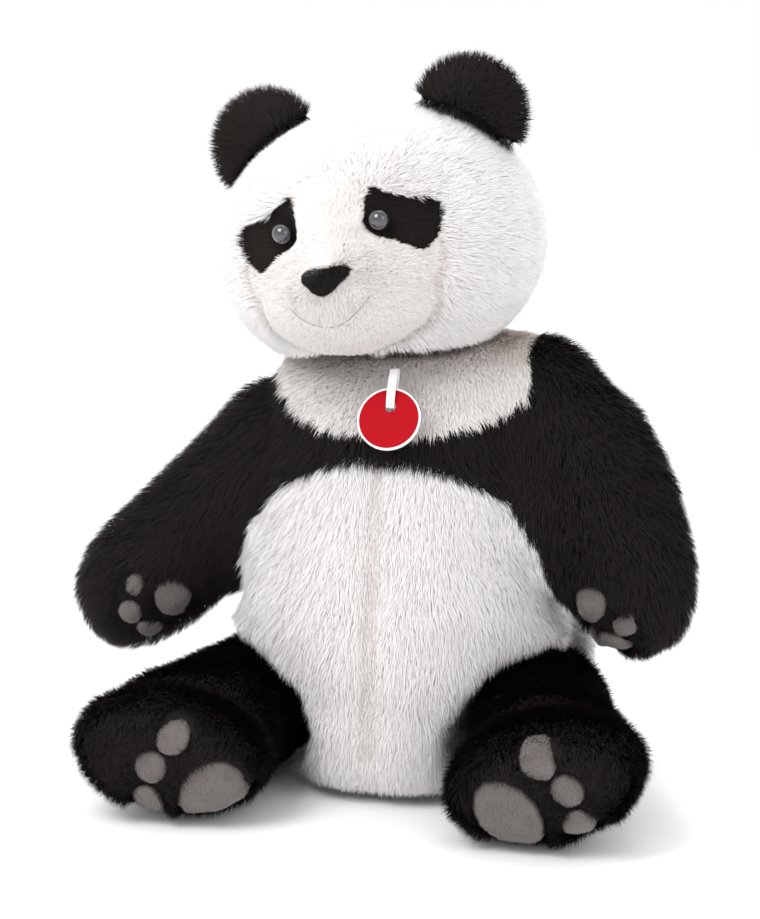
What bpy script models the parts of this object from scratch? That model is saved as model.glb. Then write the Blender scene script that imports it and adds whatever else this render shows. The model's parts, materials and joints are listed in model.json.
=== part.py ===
"""Seated plush panda: sewn panels over fibre stuffing, eyes, paw pads and a swing tag. Metres, +Z up."""

import math

import bmesh
import bpy
from mathutils import Matrix, Vector

MM = 0.001

# Allowances
GAP = 0.3 * MM
PILE = 10 * MM
SHORT_PILE = 4 * MM
MUZZLE_WALL = 6 * MM
CORE_CLEARANCE = 1.8 * MM
PAD_SINK = 3.5 * MM
REACH = 400 * MM
CENTRING = (9.8 * MM, 24.4 * MM, 0.0)

# Mesh fineness
LIMB_SEGMENTS = 16
HIDDEN_LIMB_SEGMENTS = 10
HIDDEN_TORSO_SEGMENTS = 20
HIDDEN_HEAD_SEGMENTS = 18
HIDDEN_HEAD_RINGS = 10
TORSO_SEGMENTS = 28
HEAD_SEGMENTS = 28
HEAD_RINGS = 16
PAD_SEGMENTS = 12
OUTLINE_STEPS = 2

# Torso: height, half width, half depth, centre depth
TORSO = (
    (0, 60, 58, 2),
    (5, 76, 78, 1),
    (18, 92, 92, 0),
    (42, 104, 101, -1),
    (72, 108, 103, -1),
    (105, 103, 100, 0),
    (140, 96, 93, 0),
    (172, 89, 86, 1),
    (200, 84, 77, 3),
    (220, 80, 68, 4),
    (234, 71, 57, 4),
    (245, 53, 44, 4),
    (252, 26, 23, 4),
)
TORSO_TOP = 254
BIB_FRONT_HEIGHT = 198 * MM
BIB_FRONT_DEPTH = -80 * MM
BIB_SLOPE = math.atan(0.36)
BELLY_CENTRE = 94 * MM
BELLY_HALF_WIDTH = 96 * MM
BELLY_HALF_HEIGHT = 96 * MM
FLANK_TOP = 132 * MM
SIDE_SEAM = 26 * MM
SEAT_HALF_WIDTH = 34 * MM
SEAT_HALF_DEPTH = 50 * MM
NECK_OPENING = 30 * MM
TAIL_CENTRE = (0, 103 * MM, 40 * MM)
TAIL_RADII = (24 * MM, 22 * MM, 20 * MM)

# Neck: radius and height of the dome that the head turns on
NECK_DOME = ((0, 256), (26, 256), (52, 249), (72, 238), (86, 224), (104, 206), (130, 190))
NECK_FLOOR = 160
NECK_AXIS = (-4 * MM, 0, 250 * MM)

# Head, in its own frame: X to the panda's left, -Y forwards
HEAD_CENTRE = (-15 * MM, -10 * MM, 303 * MM)
HEAD_TURN = math.radians(-5.5)
HEAD_ROLL = math.radians(-9.5)
HEAD_RADII = (95 * MM, 85 * MM, 77 * MM)
MUZZLE_CENTRE = (0, -42 * MM, -25 * MM)
MUZZLE_RADII = (52 * MM, 55 * MM, 35 * MM)
MUZZLE_OVAL = (53 * MM, 33 * MM)
STRIP_OUTLINE = ((-16, 46), (16, 46), (20, 20), (22, -6), (-22, -6), (-20, 20))
PATCH_OUTLINE = (
    (15, 31),
    (33, 27),
    (48, 21),
    (66, 17),
    (70, 0),
    (64, -16),
    (54, -20),
    (36, -8),
    (19, -4),
    (13, 12),
)
EYE_POSITION = (28 * MM, 14 * MM)
EYE_RADIUS = 6 * MM
EYE_HEIGHT = 5 * MM
EYE_LIFT = 1.5 * MM
SHANK_RADIUS = 1.8 * MM
SHANK_LENGTH = 13 * MM
WASHER_RADIUS = 6.5 * MM
WASHER_THICKNESS = 1.6 * MM
EYE_LOOK = math.radians(18)
NOSE_OUTLINE = (
    (-14.5, 6),
    (-7, 8.5),
    (0, 7.5),
    (7, 8.5),
    (14.5, 6),
    (9, -3),
    (2.5, -9.5),
    (-2.5, -9.5),
    (-9, -3),
)
NOSE_HEIGHT = -13 * MM
NOSE_PROUD = 2.5 * MM
MOUTH_LINE = ((-22, -25), (-16, -31), (-8, -36), (0, -38), (8, -36.5), (17, -31), (24, -24))
MOUTH_RADIUS = 0.6 * MM
MOUTH_STANDOFF = 1.3 * MM
EAR_CENTRE = (61 * MM, 4 * MM, 62 * MM)
EAR_RADII = (34 * MM, 13 * MM, 33 * MM)
EAR_LEAN = math.radians(38)

# Arms: centre, half width and half thickness of each section from the shoulder
ARM_LEFT = (
    ((50, 4, 216), 33, 33),
    ((73, 3, 210), 38, 38),
    ((98, -5, 190), 42, 42),
    ((117, -22, 160), 42, 41),
    ((131, -38, 130), 40, 38),
    ((138, -47, 110), 36, 35),
    ((141, -52, 92), 27, 26),
)
ARM_LEFT_TIP = (142, -54, 80)
ARM_RIGHT = (
    ((-48, 2, 196), 33, 33),
    ((-71, 1, 187), 38, 38),
    ((-100, -8, 158), 40, 40),
    ((-128, -20, 129), 40, 38),
    ((-151, -31, 107), 39, 37),
    ((-165, -37, 93), 34, 32),
    ((-176, -41, 84), 25, 23),
)
ARM_RIGHT_TIP = (-184, -44, 78)
SHOULDER = (75 * MM, 0, 200 * MM)
SHOULDER_TILT = math.radians(10)
SHOULDER_DISC = 114 * MM

# Legs: centre, half length of the foot, half breadth and pitch of each section from the hip
LEG_LEFT = (
    ((82, -12, 40), 39, 39, 0),
    ((87, -47, 40), 40, 39, 0),
    ((95, -81, 40), 43, 39, 0),
    ((103, -112, 39), 52, 38, 5),
    ((108, -138, 38), 56, 37, 10),
    ((110, -156, 36), 53, 34, 14),
    ((110, -166, 34), 40, 26, 16),
)
LEG_LEFT_TIP = (110, -168, 33)
LEG_RIGHT = (
    ((-82, -12, 40), 39, 39, 0),
    ((-87, -47, 40), 40, 39, 0),
    ((-92, -81, 40), 43, 38, 0),
    ((-97, -112, 39), 54, 37, 2),
    ((-99, -138, 38), 58, 36, 4),
    ((-99, -156, 37), 55, 34, 6),
    ((-99, -166, 36), 42, 26, 7),
)
LEG_RIGHT_TIP = (-99, -168, 35)
FOOT_ROLL = {1: math.radians(18), -1: math.radians(9)}
HIP = (82 * MM, -12 * MM, 40 * MM)
SPLAY_STEPS = (-3, 4, 11, 18)
SPLAY_CLEARANCE = 2.5 * MM

# Pads in the plane of a sole or palm: along the toes, across them, half length, half width, turn
SOLE_PADS = (
    ("sole_pad", -17, -1, 17, 23, 0),
    ("toe_pad_1", 15, 22, 8, 10, 35),
    ("toe_pad_2", 20, 0, 9, 9.5, 0),
    ("toe_pad_3", 14, -22, 8, 10, -35),
)
PALM_PADS = (
    ("palm_pad", -11, 0, 10, 13, 0),
    ("finger_pad_1", 7, 16, 5.5, 7, 35),
    ("finger_pad_2", 14, 0, 7, 7.5, 0),
    ("finger_pad_3", 8, -16, 6, 8, -35),
)
SOLE_LEFT = ((106, -158, 31), (0.0, -0.95, -0.3), (0.86, 0.0, 0.51))
SOLE_RIGHT = ((-84, -158, 27), (0.06, -0.98, -0.18), (-0.91, 0.0, 0.42))
PALM_LEFT = ((118, -66, 104), (-0.74, -0.6, -0.3), (0.3, -0.2, -0.93))
PALM_RIGHT = ((-136, -60, 96), (0.1, -0.98, -0.15), (-0.97, 0.0, -0.24))

# Swing tag: pivot under the chin, lean from the vertical
TAG_PIVOT = (8 * MM, -68 * MM, 239 * MM)
TAG_LEAN = math.radians(27)
TAG_RADIUS = 17.5 * MM
TAG_THICKNESS = 1.6 * MM
TAG_DROP = 28 * MM
TAG_HOLE_RADIUS = 3.2 * MM
TAG_HOLE_UP = 7 * MM
STRAP_WIDTH = 4.6 * MM
STRAP_THICKNESS = 0.9 * MM
STRAP_SPREAD = 2.2 * MM
STRAP_LENGTH = 21 * MM


def clear_scene():
    for item in list(bpy.data.objects):
        bpy.data.objects.remove(item, do_unlink=True)


def collection(name):
    made = bpy.data.collections.new(name)
    bpy.context.scene.collection.children.link(made)
    return made


def material(name, colour, roughness, metallic=0.0):
    made = bpy.data.materials.new(name)
    made.use_nodes = True
    shader = made.node_tree.nodes["Principled BSDF"]
    shader.inputs["Base Color"].default_value = (*colour, 1.0)
    shader.inputs["Roughness"].default_value = roughness
    shader.inputs["Metallic"].default_value = metallic
    made.diffuse_color = (*colour, 1.0)
    return made


def object_of(name, mesh, where):
    made = bpy.data.objects.new(name, mesh)
    where.objects.link(made)
    return made


def mesh_from(name, shape):
    bmesh.ops.recalc_face_normals(shape, faces=shape.faces)
    mesh = bpy.data.meshes.new(name)
    shape.to_mesh(mesh)
    shape.free()
    return mesh


def tool(name, mesh):
    made = object_of(name, mesh, TOOLS)
    made.hide_render = True
    made.display_type = "WIRE"
    return made


def baked(target):
    graph = bpy.context.evaluated_depsgraph_get()
    mesh = bpy.data.meshes.new_from_object(target.evaluated_get(graph))
    shape = bmesh.new()
    shape.from_mesh(mesh)
    bmesh.ops.remove_doubles(shape, verts=shape.verts, dist=0.02 * MM)
    bmesh.ops.dissolve_degenerate(shape, edges=shape.edges, dist=0.02 * MM)
    shape.to_mesh(mesh)
    shape.free()
    target.modifiers.clear()
    target.data = mesh


def combine(target, others, operation):
    for other in others:
        step = target.modifiers.new(operation.title(), "BOOLEAN")
        step.operation = operation
        step.solver = "EXACT"
        step.object = other
        bpy.context.view_layer.update()
        baked(target)
    return target


def minus(target, *others):
    return combine(target, others, "DIFFERENCE")


def shared(target, *others):
    return combine(target, others, "INTERSECT")


def joined(target, *others):
    return combine(target, others, "UNION")


def ellipsoid(
    name, centre, radii, frame=Matrix.Identity(4), grow=0.0, segments=HEAD_SEGMENTS, rings=HEAD_RINGS
):
    shape = bmesh.new()
    bmesh.ops.create_uvsphere(shape, u_segments=segments, v_segments=rings, radius=1.0)
    size = Matrix.Diagonal((radii[0] + grow, radii[1] + grow, radii[2] + grow, 1.0))
    bmesh.ops.transform(shape, matrix=frame @ Matrix.Translation(centre) @ size, verts=shape.verts)
    return tool(name, mesh_from(name, shape))


def box(name, centre, size, frame=Matrix.Identity(4)):
    shape = bmesh.new()
    bmesh.ops.create_cube(shape, size=1.0)
    scale = Matrix.Diagonal((size[0], size[1], size[2], 1.0))
    bmesh.ops.transform(shape, matrix=frame @ Matrix.Translation(centre) @ scale, verts=shape.verts)
    return tool(name, mesh_from(name, shape))


def rod(name, frame, radius_x, radius_y, length, segments=PAD_SEGMENTS):
    """An elliptical cylinder along the frame's Z, centred on its origin."""
    shape = bmesh.new()
    bmesh.ops.create_cone(
        shape, cap_ends=True, cap_tris=False, segments=segments, radius1=1.0, radius2=1.0, depth=1.0
    )
    scale = Matrix.Diagonal((radius_x, radius_y, length, 1.0))
    bmesh.ops.transform(shape, matrix=frame @ scale, verts=shape.verts)
    return tool(name, mesh_from(name, shape))


def loft(name, sections, start, end, segments):
    """A closed skin over rings of (centre, across, up, half width, half height) with a point at each end."""
    shape = bmesh.new()
    rings = []
    for centre, across, up, half_width, half_height in sections:
        ring = []
        for index in range(segments):
            angle = math.tau * index / segments
            place = centre + across * (half_width * math.cos(angle)) + up * (half_height * math.sin(angle))
            ring.append(shape.verts.new(place))
        rings.append(ring)
    first = shape.verts.new(start)
    last = shape.verts.new(end)
    for index in range(segments):
        after = (index + 1) % segments
        shape.faces.new((first, rings[0][after], rings[0][index]))
        shape.faces.new((last, rings[-1][index], rings[-1][after]))
        for lower, upper in zip(rings, rings[1:]):
            shape.faces.new((lower[index], lower[after], upper[after], upper[index]))
    return tool(name, mesh_from(name, shape))


def torso(name, grow, segments=TORSO_SEGMENTS):
    sections = []
    for height, half_width, half_depth, depth in TORSO:
        level = height * MM
        if grow < 0:
            level = max(level, -grow)
        elif height == TORSO[0][0]:
            level -= grow
        sections.append(
            (
                Vector((0, depth * MM, level)),
                Vector((1, 0, 0)),
                Vector((0, 1, 0)),
                half_width * MM + grow,
                half_depth * MM + grow,
            )
        )
    top = Vector((0, TORSO[-1][3] * MM, TORSO_TOP * MM + min(grow, GAP)))
    bottom = Vector((0, TORSO[0][3] * MM, TORSO[0][0] * MM - grow))
    return loft(name, sections, bottom, top, segments)


def held_back(centre, way, tip, grow):
    """Keeps a section of a shrunken limb behind its shortened end."""
    excess = (centre - (Vector(tip) * MM + way * grow)).dot(way)
    if grow < 0 and excess > 0:
        return centre - way * excess
    return centre


def limb_frames(rows):
    """The direction of travel at each section."""
    centres = [Vector(row[0]) * MM for row in rows]
    ways = []
    for index in range(len(centres)):
        before = centres[max(index - 1, 0)]
        after = centres[min(index + 1, len(centres) - 1)]
        ways.append((after - before).normalized())
    return centres, ways


def arm(name, rows, tip, grow, root_grow=0.0, segments=LIMB_SEGMENTS):
    centres, ways = limb_frames(rows)
    sections = []
    for centre, way, row in zip(centres, ways, rows):
        across = way.cross(Vector((0, -1, 0))).normalized()
        up = way.cross(across).normalized()
        place = held_back(centre, ways[-1], tip, grow)
        sections.append((place, across, up, row[1] * MM + grow, row[2] * MM + grow))
    start = centres[0] - ways[0] * (8 * MM + root_grow)
    end = Vector(tip) * MM + ways[-1] * grow
    return loft(name, sections, start, end, segments)


def leg(name, rows, tip, side, grow, segments=LIMB_SEGMENTS):
    centres, ways = limb_frames(rows)
    sections = []
    long_way = Vector((math.cos(FOOT_ROLL[side]) * side, 0, math.sin(FOOT_ROLL[side])))
    for centre, way, row in zip(centres, ways, rows):
        pitch = Matrix.Rotation(math.radians(row[3]), 3, "X")
        level = Vector((way.x, way.y, 0)).normalized()
        turn = Matrix.Rotation(math.atan2(level.x, -level.y), 3, "Z")
        across = turn @ pitch @ long_way
        up = (turn @ pitch @ Vector((0, -1, 0))).cross(across).normalized()
        place = held_back(centre, ways[-1], tip, grow)
        sections.append((place, across, up, row[1] * MM + grow, row[2] * MM + grow))
    # The hip end is round about the upright axis, so that the leg can splay.
    root = []
    centre = Vector((HIP[0] * side, HIP[1], HIP[2]))
    radius = rows[0][1] * MM + grow
    back = -ways[0]
    for angle in (80, 60, 40, 20):
        lift = math.radians(angle)
        place = centre + back * (radius * math.sin(lift))
        size = radius * math.cos(lift)
        root.append((place, sections[0][1], sections[0][2], size, size))
    start = centre + back * radius
    end = Vector(tip) * MM + ways[-1] * grow
    return loft(name, root + sections, start, end, segments)


def outline_prism(name, points, frame, depth, grow=0.0, steps=OUTLINE_STEPS):
    """A smooth closed outline in the frame's XZ plane, carried forwards along -Y."""
    curve = bpy.data.curves.new(name, "CURVE")
    curve.dimensions = "2D"
    curve.fill_mode = "BOTH"
    curve.resolution_u = steps
    curve.extrude = depth / 2
    curve.offset = grow
    spline = curve.splines.new("BEZIER")
    spline.bezier_points.add(len(points) - 1)
    for knot, (x, z) in zip(spline.bezier_points, points):
        knot.co = (x * MM, z * MM, 0)
        knot.handle_left_type = "AUTO"
        knot.handle_right_type = "AUTO"
    spline.use_cyclic_u = True
    flat = object_of(name + "_outline", curve, TOOLS)
    upright = Matrix.Rotation(math.radians(90), 4, "X")
    flat.matrix_world = frame @ upright @ Matrix.Translation((0, 0, depth / 2))
    bpy.context.view_layer.update()
    graph = bpy.context.evaluated_depsgraph_get()
    mesh = bpy.data.meshes.new_from_object(flat.evaluated_get(graph))
    shape = bmesh.new()
    shape.from_mesh(mesh)
    bmesh.ops.remove_doubles(shape, verts=shape.verts, dist=0.01 * MM)
    bmesh.ops.transform(shape, matrix=flat.matrix_world, verts=shape.verts)
    bpy.data.objects.remove(flat)
    return tool(name, mesh_from(name, shape))


def mirrored(points):
    return tuple((-x, z) for x, z in reversed(points))


def frame_from(place, normal, along):
    """Z along the normal, X along the toes."""
    z = Vector(normal).normalized()
    x = Vector(along)
    x = (x - z * x.dot(z)).normalized()
    y = z.cross(x)
    rotation = Matrix((x, y, z)).transposed().to_4x4()
    return Matrix.Translation(Vector(place) * MM) @ rotation


def hull_of(name, source, turns, pivot):
    """One convex cutter round every position that a turning limb takes."""
    shape = bmesh.new()
    for degrees in turns:
        turn = Matrix.Translation(pivot) @ Matrix.Rotation(math.radians(degrees), 4, "Z")
        turn = turn @ Matrix.Translation(-Vector(pivot))
        for vertex in source.data.vertices:
            shape.verts.new(turn @ vertex.co)
    done = bmesh.ops.convex_hull(shape, input=shape.verts)
    spare = {item for item in done["geom_interior"] if isinstance(item, bmesh.types.BMVert)}
    spare |= {item for item in done["geom_unused"] if isinstance(item, bmesh.types.BMVert)}
    bmesh.ops.delete(shape, geom=list(spare), context="VERTS")
    return tool(name, mesh_from(name, shape))


def dome(name, grow):
    """The neck's dome as a turned solid."""
    mesh = bpy.data.meshes.new(name)
    shape = bmesh.new()
    rim = [(radius * MM + (grow if radius else 0), height * MM + grow) for radius, height in NECK_DOME]
    rim.append((rim[-1][0], NECK_FLOOR * MM))
    rim.append((0, NECK_FLOOR * MM))
    points = [shape.verts.new((radius, 0, height)) for radius, height in rim]
    for one, two in zip(points, points[1:]):
        shape.edges.new((one, two))
    shape.to_mesh(mesh)
    shape.free()
    made = tool(name, mesh)
    made.location = (NECK_AXIS[0], NECK_AXIS[1], 0)
    turn = made.modifiers.new("Turn", "SCREW")
    turn.steps = turn.render_steps = 28
    turn.use_merge_vertices = True
    turn.merge_threshold = 0.0001
    bpy.context.view_layer.update()
    baked(made)
    made.data.transform(Matrix.Translation(made.location))
    made.location = (0, 0, 0)
    shape = bmesh.new()
    shape.from_mesh(made.data)
    bmesh.ops.recalc_face_normals(shape, faces=shape.faces)
    shape.to_mesh(made.data)
    shape.free()
    return made


def copy_tool(name, source):
    made = source.copy()
    made.data = source.data.copy()
    made.name = name
    TOOLS.objects.link(made)
    return made


def piece(name, source, finish, pivot):
    """Turns a finished helper into a named piece on its pivot."""
    place = Vector((0.0, 0.0, 0.0))
    for vertex in source.data.vertices:
        place += vertex.co
    place /= len(source.data.vertices)
    made = source.copy()
    made.data = source.data.copy()
    made.name = name
    made.data.name = name
    made.hide_render = False
    made.display_type = "TEXTURED"
    made.data.transform(Matrix.Translation(-place))
    PIECES.objects.link(made)
    made.data.materials.clear()
    made.data.materials.append(finish)
    for face in made.data.polygons:
        face.use_smooth = True
    made.parent = pivot
    made.location = place - pivot.location
    return made


def pivot_at(name, place):
    made = bpy.data.objects.new(name, None)
    made.empty_display_size = 0.02
    made.location = place
    PIECES.objects.link(made)
    return made


clear_scene()
PIECES = collection("plush panda")
TOOLS = collection("plush panda cutters")
TOOLS.hide_render = True

WHITE_PLUSH = material("white long plush", (0.86, 0.83, 0.80), 0.95)
BLACK_PLUSH = material("black long plush", (0.012, 0.011, 0.010), 0.9)
CREAM_PLUSH = material("cream short plush", (0.82, 0.76, 0.68), 0.95)
PATCH_PLUSH = material("black short plush", (0.010, 0.009, 0.009), 0.85)
PAD_PLUSH = material("grey pad plush", (0.30, 0.265, 0.25), 0.95)
NOSE_PLUSH = material("black flocked nose", (0.012, 0.010, 0.010), 0.8)
FILLING = material("polyester stuffing", (0.88, 0.88, 0.86), 1.0)
EYE_PLASTIC = material("grey eye plastic", (0.05, 0.05, 0.055), 0.08)
WASHER_PLASTIC = material("white washer plastic", (0.8, 0.8, 0.78), 0.45)
THREAD = material("brown mouth thread", (0.22, 0.12, 0.08), 0.8)
TAG_CARD = material("red tag plastic", (0.5, 0.006, 0.01), 0.25)
STRAP_PLASTIC = material("white strap plastic", (0.85, 0.85, 0.85), 0.3)

HEAD_FRAME = (
    Matrix.Translation(HEAD_CENTRE)
    @ Matrix.Rotation(HEAD_TURN, 4, "Z")
    @ Matrix.Rotation(HEAD_ROLL, 4, "Y")
)
TORSO_PIVOT = pivot_at("torso_origin", Vector((0, 0, 0)))
HEAD_PIVOT = pivot_at("neck_axis", Vector(NECK_AXIS))
TAG_AXIS = pivot_at("tag_axis", Vector(TAG_PIVOT))

# Legs and arms, before they are cut
FLOOR = box("floor_cut", (0, 0, -REACH / 2), (REACH * 2, REACH * 2, REACH))
legs = {}
arms = {}
for side, word, rows, tip in ((1, "left", LEG_LEFT, LEG_LEFT_TIP), (-1, "right", LEG_RIGHT, LEG_RIGHT_TIP)):
    legs[word] = {
        "side": side,
        "outer": leg("leg_outer_" + word, rows, tip, side, 0.0),
        "inner": leg("leg_inner_" + word, rows, tip, side, -PILE),
        "core": leg("leg_core_" + word, rows, tip, side, -PILE - CORE_CLEARANCE, HIDDEN_LIMB_SEGMENTS),
        "pad_top": leg("leg_pad_top_" + word, rows, tip, side, -PAD_SINK),
        "pivot": pivot_at("hip_axis_" + word, Vector((HIP[0] * side, HIP[1], HIP[2]))),
        "swept": leg("leg_swept_" + word, rows, tip, side, SPLAY_CLEARANCE, HIDDEN_LIMB_SEGMENTS),
    }
    angles = tuple(step * side for step in SPLAY_STEPS)
    hip = legs[word]["pivot"].location
    legs[word]["room"] = hull_of("leg_room_" + word, legs[word]["swept"], angles, hip)

SHOULDER_WAYS = {}
for side, word, rows, tip in ((1, "left", ARM_LEFT, ARM_LEFT_TIP), (-1, "right", ARM_RIGHT, ARM_RIGHT_TIP)):
    way = Vector((math.cos(SHOULDER_TILT) * side, 0, math.sin(SHOULDER_TILT)))
    place = Vector((SHOULDER[0] * side, SHOULDER[1], SHOULDER[2]))
    frame = Matrix.Translation(place) @ Vector((0, 0, 1)).rotation_difference(way).to_matrix().to_4x4()
    SHOULDER_WAYS[word] = (place, way, frame)
    inside = box("arm_inside_" + word, (0, 0, -REACH / 2), (REACH * 2, REACH * 2, REACH), frame)
    room = rod(
        "arm_room_" + word,
        frame @ Matrix.Translation((0, 0, REACH / 2 - GAP)),
        SHOULDER_DISC,
        SHOULDER_DISC,
        REACH,
        32,
    )
    arms[word] = {
        "side": side,
        "outer": arm("arm_outer_" + word, rows, tip, 0.0),
        "inner": arm("arm_inner_" + word, rows, tip, -PILE, 20 * MM),
        "core": arm("arm_core_" + word, rows, tip, -PILE - CORE_CLEARANCE, 0.0, HIDDEN_LIMB_SEGMENTS),
        "pad_top": arm("arm_pad_top_" + word, rows, tip, -PAD_SINK),
        "inside": inside,
        "room": room,
        "pivot": pivot_at("shoulder_axis_" + word, place),
    }

# Paw pads through the limb skins
PAD_GROUPS = (
    (legs, "leg", (("left", SOLE_LEFT), ("right", SOLE_RIGHT)), SOLE_PADS),
    (arms, "arm", (("left", PALM_LEFT), ("right", PALM_RIGHT)), PALM_PADS),
)
for limbs, kind, places, pads in PAD_GROUPS:
    for word, (place, normal, along) in places:
        limb = limbs[word]
        frame = frame_from(place, normal, along)
        skin = minus(copy_tool(kind + "_shell_" + word, limb["outer"]), limb["inner"])
        if kind == "leg":
            skin = minus(skin, FLOOR)
            back = Vector((0, 1, 0))
            opening = box(
                "hip_opening_" + word,
                (0, 30 * MM, 0),
                (44 * MM, 60 * MM, 44 * MM),
                Matrix.Translation(limb["pivot"].location),
            )
            skin = minus(skin, opening)
            stuffing = minus(copy_tool("leg_fill_" + word, limb["core"]), FLOOR)
        else:
            skin = minus(skin, limb["inside"])
            stuffing = minus(copy_tool("arm_fill_" + word, limb["core"]), limb["inside"])
        for label, u, v, half_length, half_width, turn in pads:
            spot = frame @ Matrix.Translation((u * MM, v * MM * limb["side"], 0))
            spot = spot @ Matrix.Rotation(math.radians(turn * limb["side"]), 4, "Z")
            depth = 30 * MM
            plug = rod(label + "_plug_" + word, spot, half_length * MM, half_width * MM, depth)
            hole = rod(
                label + "_hole_" + word,
                spot,
                half_length * MM + GAP,
                half_width * MM + GAP,
                depth + 4 * MM,
            )
            skin = minus(skin, hole)
            pad = minus(shared(plug, limb["pad_top"]), limb["inner"])
            piece(label + "_" + word, pad, PAD_PLUSH, limb["pivot"])
        piece(kind + "_skin_" + word, skin, BLACK_PLUSH, limb["pivot"])
        piece(kind + "_stuffing_" + word, stuffing, FILLING, limb["pivot"])

# Torso
OUTER = torso("torso_outer", 0.0)
INNER = torso("torso_inner", -PILE)
CORE = torso("torso_core", -PILE - CORE_CLEARANCE, HIDDEN_TORSO_SEGMENTS)
NECK_HOLE = rod("neck_opening", Matrix.Translation((0, 0, 250 * MM)), NECK_OPENING, NECK_OPENING, 60 * MM, 18)
LIMB_ROOM = (legs["left"]["room"], legs["right"]["room"], arms["left"]["room"], arms["right"]["room"])
SHELL = minus(minus(OUTER, INNER), FLOOR, NECK_HOLE, *LIMB_ROOM)

BIB_FRAME = Matrix.Translation((0, BIB_FRONT_DEPTH, BIB_FRONT_HEIGHT)) @ Matrix.Rotation(BIB_SLOPE, 4, "X")
ABOVE_BIB = box("above_bib", (0, 0, REACH / 2), (REACH * 2, REACH * 2, REACH), BIB_FRAME)
ABOVE_BIB_WIDE = box("above_bib_wide", (0, 0, REACH / 2 - GAP), (REACH * 2, REACH * 2, REACH), BIB_FRAME)
THROUGH = Matrix.Translation((0, 0, BELLY_CENTRE)) @ Matrix.Rotation(math.radians(90), 4, "X")
WHITE = rod("white_zone", THROUGH, BELLY_HALF_WIDTH, BELLY_HALF_HEIGHT, REACH, 36)
WHITE_WIDE = rod("white_zone_wide", THROUGH, BELLY_HALF_WIDTH + GAP, BELLY_HALF_HEIGHT + GAP, REACH, 36)
SEAT = rod("seat_zone", Matrix.Identity(4), SEAT_HALF_WIDTH, SEAT_HALF_DEPTH, 40 * MM, 20)
SEAT_WIDE = rod(
    "seat_zone_wide", Matrix.Identity(4), SEAT_HALF_WIDTH + GAP, SEAT_HALF_DEPTH + GAP, 42 * MM, 20
)
WHITE = joined(WHITE, box("white_lower", (0, 0, 0), (REACH, REACH, FLANK_TOP * 2)))
LOWER_WIDE = box("white_lower_wide", (0, 0, 0), (REACH, REACH, (FLANK_TOP + GAP) * 2))
WHITE_WIDE = joined(WHITE_WIDE, LOWER_WIDE)

piece("collar", shared(copy_tool("collar_shape", SHELL), ABOVE_BIB), CREAM_PLUSH, TORSO_PIVOT)
yoke = minus(copy_tool("yoke_shape", SHELL), ABOVE_BIB_WIDE, WHITE_WIDE)
piece("shoulder_yoke", yoke, BLACK_PLUSH, TORSO_PIVOT)
seat = shared(copy_tool("seat_shape", SHELL), SEAT)
piece("seat_panel", seat, WHITE_PLUSH, TORSO_PIVOT)
lower = minus(shared(copy_tool("lower_shape", SHELL), WHITE), SEAT_WIDE)
for side, word in ((1, "left"), (-1, "right")):
    half = (REACH, REACH * 2, REACH * 2)
    column = box("half_" + word, ((REACH / 2 + GAP / 2) * side, 0, 0), half)
    front = box("front_" + word, (0, SIDE_SEAM - GAP / 2 - REACH / 2, 0), (REACH * 2, REACH, REACH * 2))
    rear = box("rear_" + word, (0, SIDE_SEAM + GAP / 2 + REACH / 2, 0), (REACH * 2, REACH, REACH * 2))
    belly = shared(copy_tool("belly_shape_" + word, lower), column, front)
    piece("belly_panel_" + word, belly, WHITE_PLUSH, TORSO_PIVOT)
    back = shared(copy_tool("back_shape_" + word, lower), column, rear)
    piece("back_panel_" + word, back, WHITE_PLUSH, TORSO_PIVOT)
core = minus(CORE, *LIMB_ROOM)
piece("torso_stuffing", core, FILLING, TORSO_PIVOT)
tail = ellipsoid("tail_shape", TAIL_CENTRE, TAIL_RADII, segments=16, rings=10)
tail = minus(tail, torso("tail_bed", GAP))
piece("tail", tail, WHITE_PLUSH, TORSO_PIVOT)

# Head
BED = dome("neck_bed", 0.0)
SCALP = ellipsoid("scalp", (0, 0, 0), HEAD_RADII, HEAD_FRAME)
SNOUT = ellipsoid("snout", MUZZLE_CENTRE, MUZZLE_RADII, HEAD_FRAME)
FACE = joined(ellipsoid("face", (0, 0, 0), HEAD_RADII, HEAD_FRAME, -SHORT_PILE), SNOUT)
LINING = joined(
    ellipsoid("lining", (0, 0, 0), HEAD_RADII, HEAD_FRAME, -PILE),
    ellipsoid("snout_lining", MUZZLE_CENTRE, MUZZLE_RADII, HEAD_FRAME, -MUZZLE_WALL),
)
HEAD_CORE = joined(
    ellipsoid(
        "head_core",
        (0, 0, 0),
        HEAD_RADII,
        HEAD_FRAME,
        -PILE - CORE_CLEARANCE,
        HIDDEN_HEAD_SEGMENTS,
        HIDDEN_HEAD_RINGS,
    ),
    ellipsoid(
        "snout_core",
        MUZZLE_CENTRE,
        MUZZLE_RADII,
        HEAD_FRAME,
        -MUZZLE_WALL - CORE_CLEARANCE,
        HIDDEN_HEAD_SEGMENTS,
        HIDDEN_HEAD_RINGS,
    ),
)
FORWARDS = (
    HEAD_FRAME
    @ Matrix.Translation((0, 0, MUZZLE_CENTRE[2]))
    @ Matrix.Rotation(math.radians(90), 4, "X")
)
MUZZLE_ZONE = rod(
    "muzzle_zone", FORWARDS @ Matrix.Translation((0, 0, REACH / 2)), *MUZZLE_OVAL, REACH, 28
)
MUZZLE_ZONE_WIDE = rod(
    "muzzle_zone_wide",
    FORWARDS @ Matrix.Translation((0, 0, REACH / 2)),
    MUZZLE_OVAL[0] + GAP,
    MUZZLE_OVAL[1] + GAP,
    REACH,
    28,
)
STRIP_ZONE = outline_prism("strip_zone", STRIP_OUTLINE, HEAD_FRAME, REACH / 2)
STRIP_ZONE_WIDE = outline_prism("strip_zone_wide", STRIP_OUTLINE, HEAD_FRAME, REACH / 2, GAP)
NOSE_FRAME = HEAD_FRAME @ Matrix.Translation((0, 0, NOSE_HEIGHT))
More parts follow.
